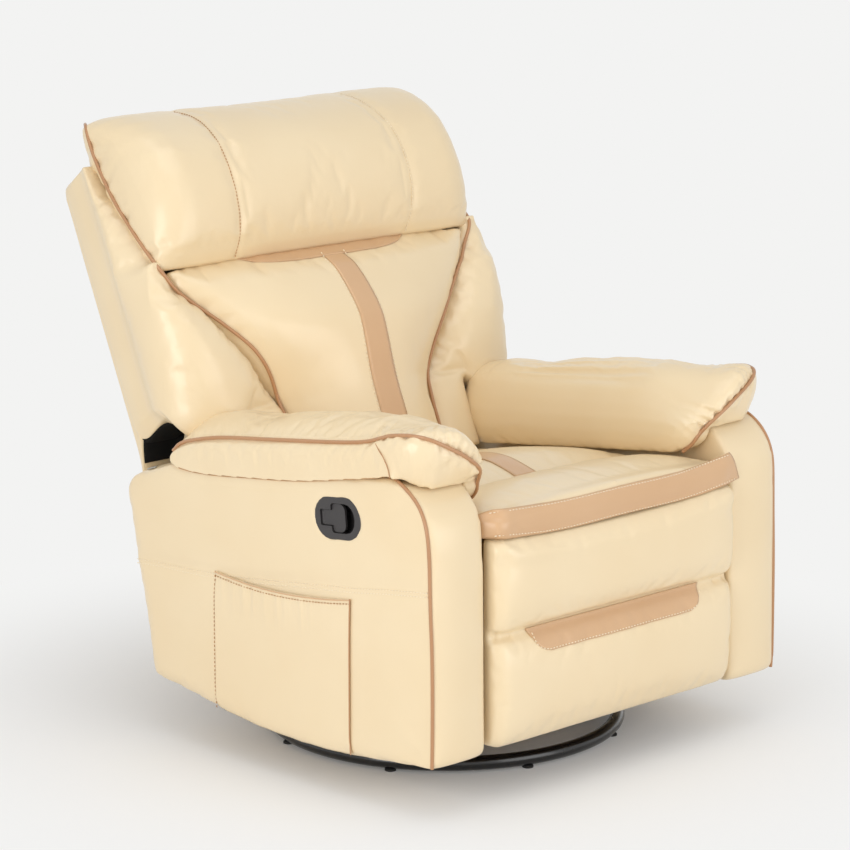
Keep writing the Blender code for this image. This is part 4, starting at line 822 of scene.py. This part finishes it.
piece("footrest_tab", patched(80, 12, tab_place, [footpad], (0, -1, 0)), tan, "footrest", "leather")
TAB_ROW = [(-0.205, -0.5, 0.282), (-0.196, -0.5, 0.262), (-0.178, -0.5, 0.2535), (-0.15, -0.5, 0.2525)]
tab_marks = [*TAB_ROW, (0, -0.5, 0.2525), *[(-x, y, z) for x, y, z in reversed(TAB_ROW)]]
tab_row = laid(spaced(tab_marks), [footpad], (0, -1, 0), 0.0004, -0.0019)
piece("footrest_stitches", stitches([tab_row]), pale_thread, "footrest", "leather")

# Backrest cushions
# A reclined back of four stuffed pieces on a plywood frame: a lumbar cushion with a tan stripe, two
# side bolsters, and a head pillow that rolls over the top. Tan piping runs down between them.
LEAN = math.radians(24)
BACK_OUT = Vector((0, -math.cos(LEAN), math.sin(LEAN)))
BACK_UP = Vector((0, math.sin(LEAN), math.cos(LEAN)))
BACK_Y, BACK_Z = SWIVEL_Y + 0.25, 0.40


def on_back(across, up, out):
    """A point of the back: across it, up along its slope, and out from its frame."""
    return Vector((across, BACK_Y + up * math.sin(LEAN) - out * math.cos(LEAN),
                   BACK_Z + up * math.cos(LEAN) + out * math.sin(LEAN)))


def up_back(p):
    """How far up the back a point is."""
    return (p.y - BACK_Y) * math.sin(LEAN) + (p.z - BACK_Z) * math.cos(LEAN)


def out_back(p):
    """How far out from the back's frame a point is."""
    return (BACK_Y - p.y) * math.cos(LEAN) + (p.z - BACK_Z) * math.sin(LEAN)


def back_seam(up):
    """Half the lumbar cushion's width at a height up the back."""
    return 0.170 + 0.19 * ease(up, 0.09, 0.422)


BACK_PIPING = [(-0.360, 0.452, 1.046), (-0.372, 0.430, 1.040), (-0.376, 0.399, 0.984),
               (-0.376, 0.345, 0.917), (-0.376, 0.295, 0.868), (-0.367, 0.240, 0.811),
               (-0.333, 0.222, 0.757), (-0.281, 0.194, 0.711), (-0.222, 0.160, 0.653),
               (-0.190, 0.137, 0.601), (-0.174, 0.110, 0.540), (-0.170, 0.080, 0.480)]


def lumbar_form(p):
    """The lumbar cushion, full above its middle, its top tucked under the pillow."""
    up = up_back(p)
    tuck = ease(up, 0.360, 0.405) * ease(abs(p.x), 0.36, 0.28)
    full = 0.017 * ease(up, 0.12, 0.28) * ease(out_back(p), 0.04, 0.10)
    return p + 0.014 * tuck * BACK_UP + (full - 0.026 * tuck) * BACK_OUT


lumbar = covered("lumbar_cover", "lumbar_cushion", 0.0058, 14, 0.012, shape=lumbar_form,
                 held=lambda p: ease(out_back(p), 0.085, 0.05), slack=0.015, pressure=6.0, turn=LEAN)
upholstered(lumbar, cream, "backrest", 0.8, "lumbar_cushion")


def bolster_form(p):
    """The bolster, its lower end hollowed over the arm."""
    up, out = up_back(p), out_back(p)
    low = ease(up, 0.24, 0.14) * ease(-p.x, 0.24, 0.27)
    rise = 0.016 * ease(up, 0.54, 0.61) * ease(out, -0.07, -0.01)
    lift = 0.020 * ease(out, -0.07, -0.01) * ease(out, 0.06, 0.0) - 0.026 * ease(out, 0.03, 0.075)
    back = 0.57 * max(0.0, -0.02 - out) * ease(up, 0.12, 0.15)
    side, front = max(0.0, -p.x - 0.29) / 0.09, max(0.0, out - 0.03) / 0.098
    far = math.hypot(side, front)
    trim = 0.22 * (1 - max(side, front) / far) if side > 0 and front > 0 else 0.0
    inner = 0.008 * ease(p.x + back_seam(up), -0.05, 0.0) * ease(out, 0.02, 0.08)
    wide = 0.016 * ease(up, 0.20, 0.13) * ease(-p.x, 0.19, 0.25) * ease(-p.x, 0.30, 0.26)
    full = 0.023 * ease(-p.x, 0.31, 0.375) * ease(out, -0.03, 0.03) * ease(up, 0.11, 0.17)
    rise += 0.022 * ease(up, 0.34, 0.42) * ease(out, 0.00, 0.05) * ease(-p.x, 0.27, 0.34)
    rise -= 0.020 * ease(up, 0.11, 0.03) * ease(-p.x, 0.27, 0.24)
    round_off = Vector((0.09 * side * trim - wide + inner - full, 0, 0))
    crown = 0.014 * ease(up, 0.14, 0.28) * ease(out, 0.04, 0.10)
    round_off -= BACK_OUT * (0.098 * front * trim + back - crown)
    return p + (low * lift + rise) * BACK_UP + round_off


bolster = covered("bolster_right_cover", "bolster_right", 0.0054, 10, 0.016, shape=bolster_form,
                  held=lambda p: ease(out_back(p), 0.04, -0.06), slack=0.015, pressure=6.0, turn=LEAN)
gathered(bolster, BACK_PIPING[2:9], 0.0090, 0.026, 0.022, (-1, 0, -0.2), 2, 0.007)
upholstered(bolster, cream, "backrest", 0.8, "bolster_right")
other_side(bolster, "bolster_left_cover", cream, "backrest", 0.8, "bolster_left")

PILLOW_SEAM = [(-0.200, 0.395, 1.055), (-0.197, 0.350, 1.053), (-0.199, 0.310, 1.038),
               (-0.206, 0.253, 0.991), (-0.208, 0.218, 0.923), (-0.207, 0.212, 0.878),
               (-0.205, 0.232, 0.814)]
PILLOW_SEAM_LEFT = [(-x, y, z) for x, y, z in PILLOW_SEAM]


def pillow_form(p):
    """The pillow, rounded off behind at its ends."""
    rear = ease(out_back(p), 0.03, -0.09) * ease(abs(p.x), 0.24, 0.376)
    return Vector((p.x * (1 - 0.045 * rear), p.y, p.z)) + 0.050 * rear * BACK_OUT


pillow = covered("head_pillow_cover", "head_pillow", 0.0064, 7, 0.010,
                 [(PILLOW_SEAM, 0.0025, 0.007), (PILLOW_SEAM_LEFT, 0.0025, 0.007)], shape=pillow_form,
                 held=lambda p: max(ease(out_back(p), 0.03, -0.03), ease(up_back(p), 0.44, 0.41)),
                 slack=0.01, pressure=4.0, turn=LEAN)
PILLOW_END = [(-0.372, 0.425, 1.040), (-0.376, 0.399, 0.984), (-0.376, 0.345, 0.917),
              (-0.376, 0.295, 0.868), (-0.367, 0.237, 0.811)]
gathered(pillow, PILLOW_END, 0.0080, 0.030, 0.024, None, 5, 0.007)
gathered(pillow, [(-x, y, z) for x, y, z in PILLOW_END], 0.0070, 0.034, 0.024, None, 6, 0.007)
upholstered(pillow, cream, "backrest", 0.8, "head_pillow")


def back_outward(p):
    """Which way the leather faces beside the back's piping."""
    t = min(1.0, max(0.0, (p.z - 0.74) / 0.10))
    return BACK_OUT.lerp(Vector((-0.85, 0, 0)) + 0.53 * BACK_OUT, t).normalized()


run = laid(spaced(BACK_PIPING), [lumbar, bolster, pillow], back_outward, CORD, 0.0017)
for _ in range(16):
    run[1:-1] = [(a + 2 * b + c) / 4 for a, b, c in zip(run, run[1:], run[2:])]
piece("back_piping", both_sides(tube(run, CORD)), cord_tan, "backrest", "leather")


def lens_place(a, b):
    """The tan lens under the pillow: a curved lower edge, its top edge hidden."""
    drop = 0.5 * (1 - b)
    return on_back(0.004 + 0.202 * a, 0.414 - drop * (0.034 - 0.026 * abs(a) ** 5), 0.12)


def stripe_place(a, b, beside=0.0):
    """The tan stripe, a little narrower towards its top, or a line beside it."""
    return on_back((0.0275 - 0.0025 * b + beside) * a, 0.225 + 0.165 * b, 0.15)


stripe = patched(8, 70, stripe_place, [lumbar], BACK_OUT)
piece("lumbar_stripe", stripe, tan, "backrest", "leather")
lens = patched(70, 10, lens_place, [lumbar], BACK_OUT, 0.0010)
piece("lumbar_lens", lens, tan, "backrest", "leather")
stripe_rows = []
for side in (-1, 1):
    marks = [stripe_place(side, b, 0.002) for b in (-1, -0.5, 0, 0.5, 1)]
    stripe_rows.append(laid(spaced(marks), [lumbar], BACK_OUT, 0.0004))
piece("stripe_stitches", stitches(stripe_rows), pale_thread, "backrest", "leather")
for name, marks, colour in (("pillow_stitches_right", PILLOW_SEAM, tan_thread),
                            ("pillow_stitches_left", PILLOW_SEAM_LEFT, pale_thread)):
    row = laid(spaced(marks), [pillow], lambda p: p - on_back(p.x, 0.55, 0.03), 0.0006, -0.0002)
    piece(name, stitches([row], 0.0056, 0.0062, 0.0009), colour, "backrest", "leather")

# Rear panel
# The outside of the back: thin padding in leather over the frame, drawn tight and folded round it.
# It runs up under the pillow, and its lower corners are carried down behind the arms.


def rear_form(p):
    """The outside back, run up under the pillow and carried down behind the arms."""
    drop = ease(up_back(p), 0.32, 0.12) * ease(abs(p.x), 0.28, 0.30) * ease(out_back(p), -0.084, -0.098)
    climb = 0.018 * ease(up_back(p), 0.55, 0.60) - 0.074 * drop
    return Vector((p.x * 0.984, p.y, p.z)) + climb * BACK_UP


rear = covered("back_rear_cover", "back_rear_panel", 0.0080, 3, 0.005, shape=rear_form,
               held=lambda p: 1.0 if out_back(p) > -0.078 else 0.0, slack=0.0, pressure=2.0, turn=LEAN)
upholstered(rear, cream, "backrest", 0.7, "back_rear_panel")

# Painted shade and small hardware
# Black cloth under the lower ends of the back and on the bolsters' inner sides, set there as painted
# shade so that the gaps between the back and the arms come out black; a zinc clip on the rear of the
# arm with the handle, and a plastic glide under the front of each arm.
# Spun polypropylene cloth: matt black, with fibres some 2 mm apart.
painted_shade_cloth, at = new_finish("black cloth painted shade")
fibre = add(painted_shade_cloth, "TexNoise", {"Vector": at, "Scale": 1 / 0.002, "Detail": 4.0})
shade = add(painted_shade_cloth, "Mix", {0: fibre.outputs["Fac"], 6: linear("#080808"), 7: linear("#161514")},
            data_type="RGBA")
skin = add(painted_shade_cloth, "Bump", {"Strength": 0.4, "Distance": 0.0003, "Height": fibre.outputs["Fac"]})
felt = add(painted_shade_cloth, "BsdfPrincipled", {
    "Base Color": shade.outputs[2], "Roughness": 0.95, "IOR": 1.4, "Normal": skin.outputs[0]})
add(painted_shade_cloth, "OutputMaterial", {"Surface": felt.outputs[0]})
# Where the black cloth of painted shade sits: under and beside the bolsters' lower ends, in the gaps above
# the arms.
SHADE_CLOTH_X, SHADE_CLOTH_THICK = -0.3175, 0.0010
under = bpy.data.meshes.new("under")
shade_sheet = bmesh.new()
for columns, rows, place, cover, out, lift in (
        (16, 36, lambda a, b: on_back(SHADE_CLOTH_X + 0.0500 * a, 0.13, -0.013 + 0.069 * b),
         bolster, -BACK_UP, 0.0008),
        (28, 18, lambda a, b: on_back(-0.2752, 0.084 + 0.040 * b, -0.008 + 0.068 * a),
         bolster, SIDE_OUT, 0.0010),
        (20, 14, lambda a, b: on_back(SHADE_CLOTH_X + 0.0490 * a, 0.128 + 0.020 * b, -0.075),
         rear, BACK_OUT, 0.0008)):
    patched(columns, rows, place, [cover], out, lift, SHADE_CLOTH_THICK).to_mesh(under)
    shade_sheet.from_mesh(under)
shade_sheet.to_mesh(under)
shade_sheet.free()
# The black cloth is painted shade: a dark sheet that darkens the gaps between the back and the arms.
piece("back_painted_shade_cloth", both_sides(under), painted_shade_cloth, "backrest", "black_plastic")
clip = patched(10, 4, lambda a, b: (-0.409 + 0.004 * b, 0.226 + 0.014 * a, 0.485), [arm_right],
               (-0.3, 0.2, 0.93), 0.0012, 0.0012)
piece("arm_clip", clip, zinc_plate, "chair", "zinc_steel")
glide = bmesh.new()
for x in (-0.375, 0.375):
    bmesh.ops.create_cone(glide, cap_ends=True, segments=32, radius1=0.016, radius2=0.018, depth=0.008,
                          matrix=Matrix.Translation((x, -0.435, arm_bottom(-0.435) - 0.001)))
piece("arm_glides", glide, dark_plastic, "chair", "black_plastic")

# Studio
# A plain pale floor that runs out of sight, lit by three large soft boxes and a bright room.
# Away from the chair the floor takes on the backdrop's own brightness, so that no edge shows.
floor_finish, at = new_finish("pale studio floor")
path = add(floor_finish, "LightPath")
seen = add(floor_finish, "Math", {0: path.outputs["Is Camera Ray"], 1: path.outputs["Is Glossy Ray"]},
           operation="MAXIMUM")
away = add(floor_finish, "VectorMath", {0: at}, operation="LENGTH")
fade = add(floor_finish, "MapRange", {"Value": away.outputs["Value"], "From Min": 0.18, "From Max": 1.2},
           interpolation_type="SMOOTHSTEP")
plain = add(floor_finish, "Math", {0: seen.outputs[0], 1: fade.outputs[0]}, operation="MULTIPLY")
matt = add(floor_finish, "BsdfDiffuse", {"Color": linear("#F4F3F2")})
glow = add(floor_finish, "Emission", {"Color": linear("#F3F3F2"), "Strength": 1.0})
both = add(floor_finish, "MixShader", {0: plain.outputs[0], 1: matt.outputs[0], 2: glow.outputs[0]})
add(floor_finish, "OutputMaterial", {"Surface": both.outputs[0]})
ground = bmesh.new()
bmesh.ops.create_grid(ground, x_segments=4, y_segments=4, size=40.0)
mesh = bpy.data.meshes.new("floor")
ground.to_mesh(mesh)
ground.free()
mesh.materials.append(floor_finish)
floor = bpy.data.objects.new("floor", mesh)
scene.collection.objects.link(floor)

world = bpy.data.worlds.new("bright room")
scene.world = world
world.use_nodes = True
world.node_tree.nodes.clear()
path = add(world, "LightPath")
seen = add(world, "Math", {0: path.outputs["Is Camera Ray"], 1: path.outputs["Is Glossy Ray"]},
           operation="MAXIMUM")
level = add(world, "MapRange", {"Value": seen.outputs[0], "To Min": 0.62, "To Max": 0.95})
room = add(world, "Background", {"Color": linear("#FBFBFA"), "Strength": level.outputs[0]})
add(world, "OutputWorld", {"Surface": room.outputs[0]})


def soft_box(name, place, target, size, watts, colour):
    """A large square lamp that faces a point."""
    lamp = bpy.data.lights.new(name, "AREA")
    lamp.size = size
    lamp.energy = watts
    lamp.color = linear(colour)[:3]
    holder = bpy.data.objects.new(name, lamp)
    scene.collection.objects.link(holder)
    holder.location = place
    holder.rotation_euler = (Vector(target) - Vector(place)).to_track_quat("-Z", "Y").to_euler()


soft_box("left_light", (-2.9, -0.9, 0.95), (0, 0, 0.5), 1.5, 29, "#FFFEFC")
soft_box("front_light", (0.3, -2.7, 0.75), (0, 0, 0.35), 1.7, 17, "#FFFFFF")
soft_box("top_light", (-0.5, -0.8, 3.2), (0, 0, 0.4), 2.2, 18, "#FFFFFF")

scene.view_settings.view_transform = "Standard"
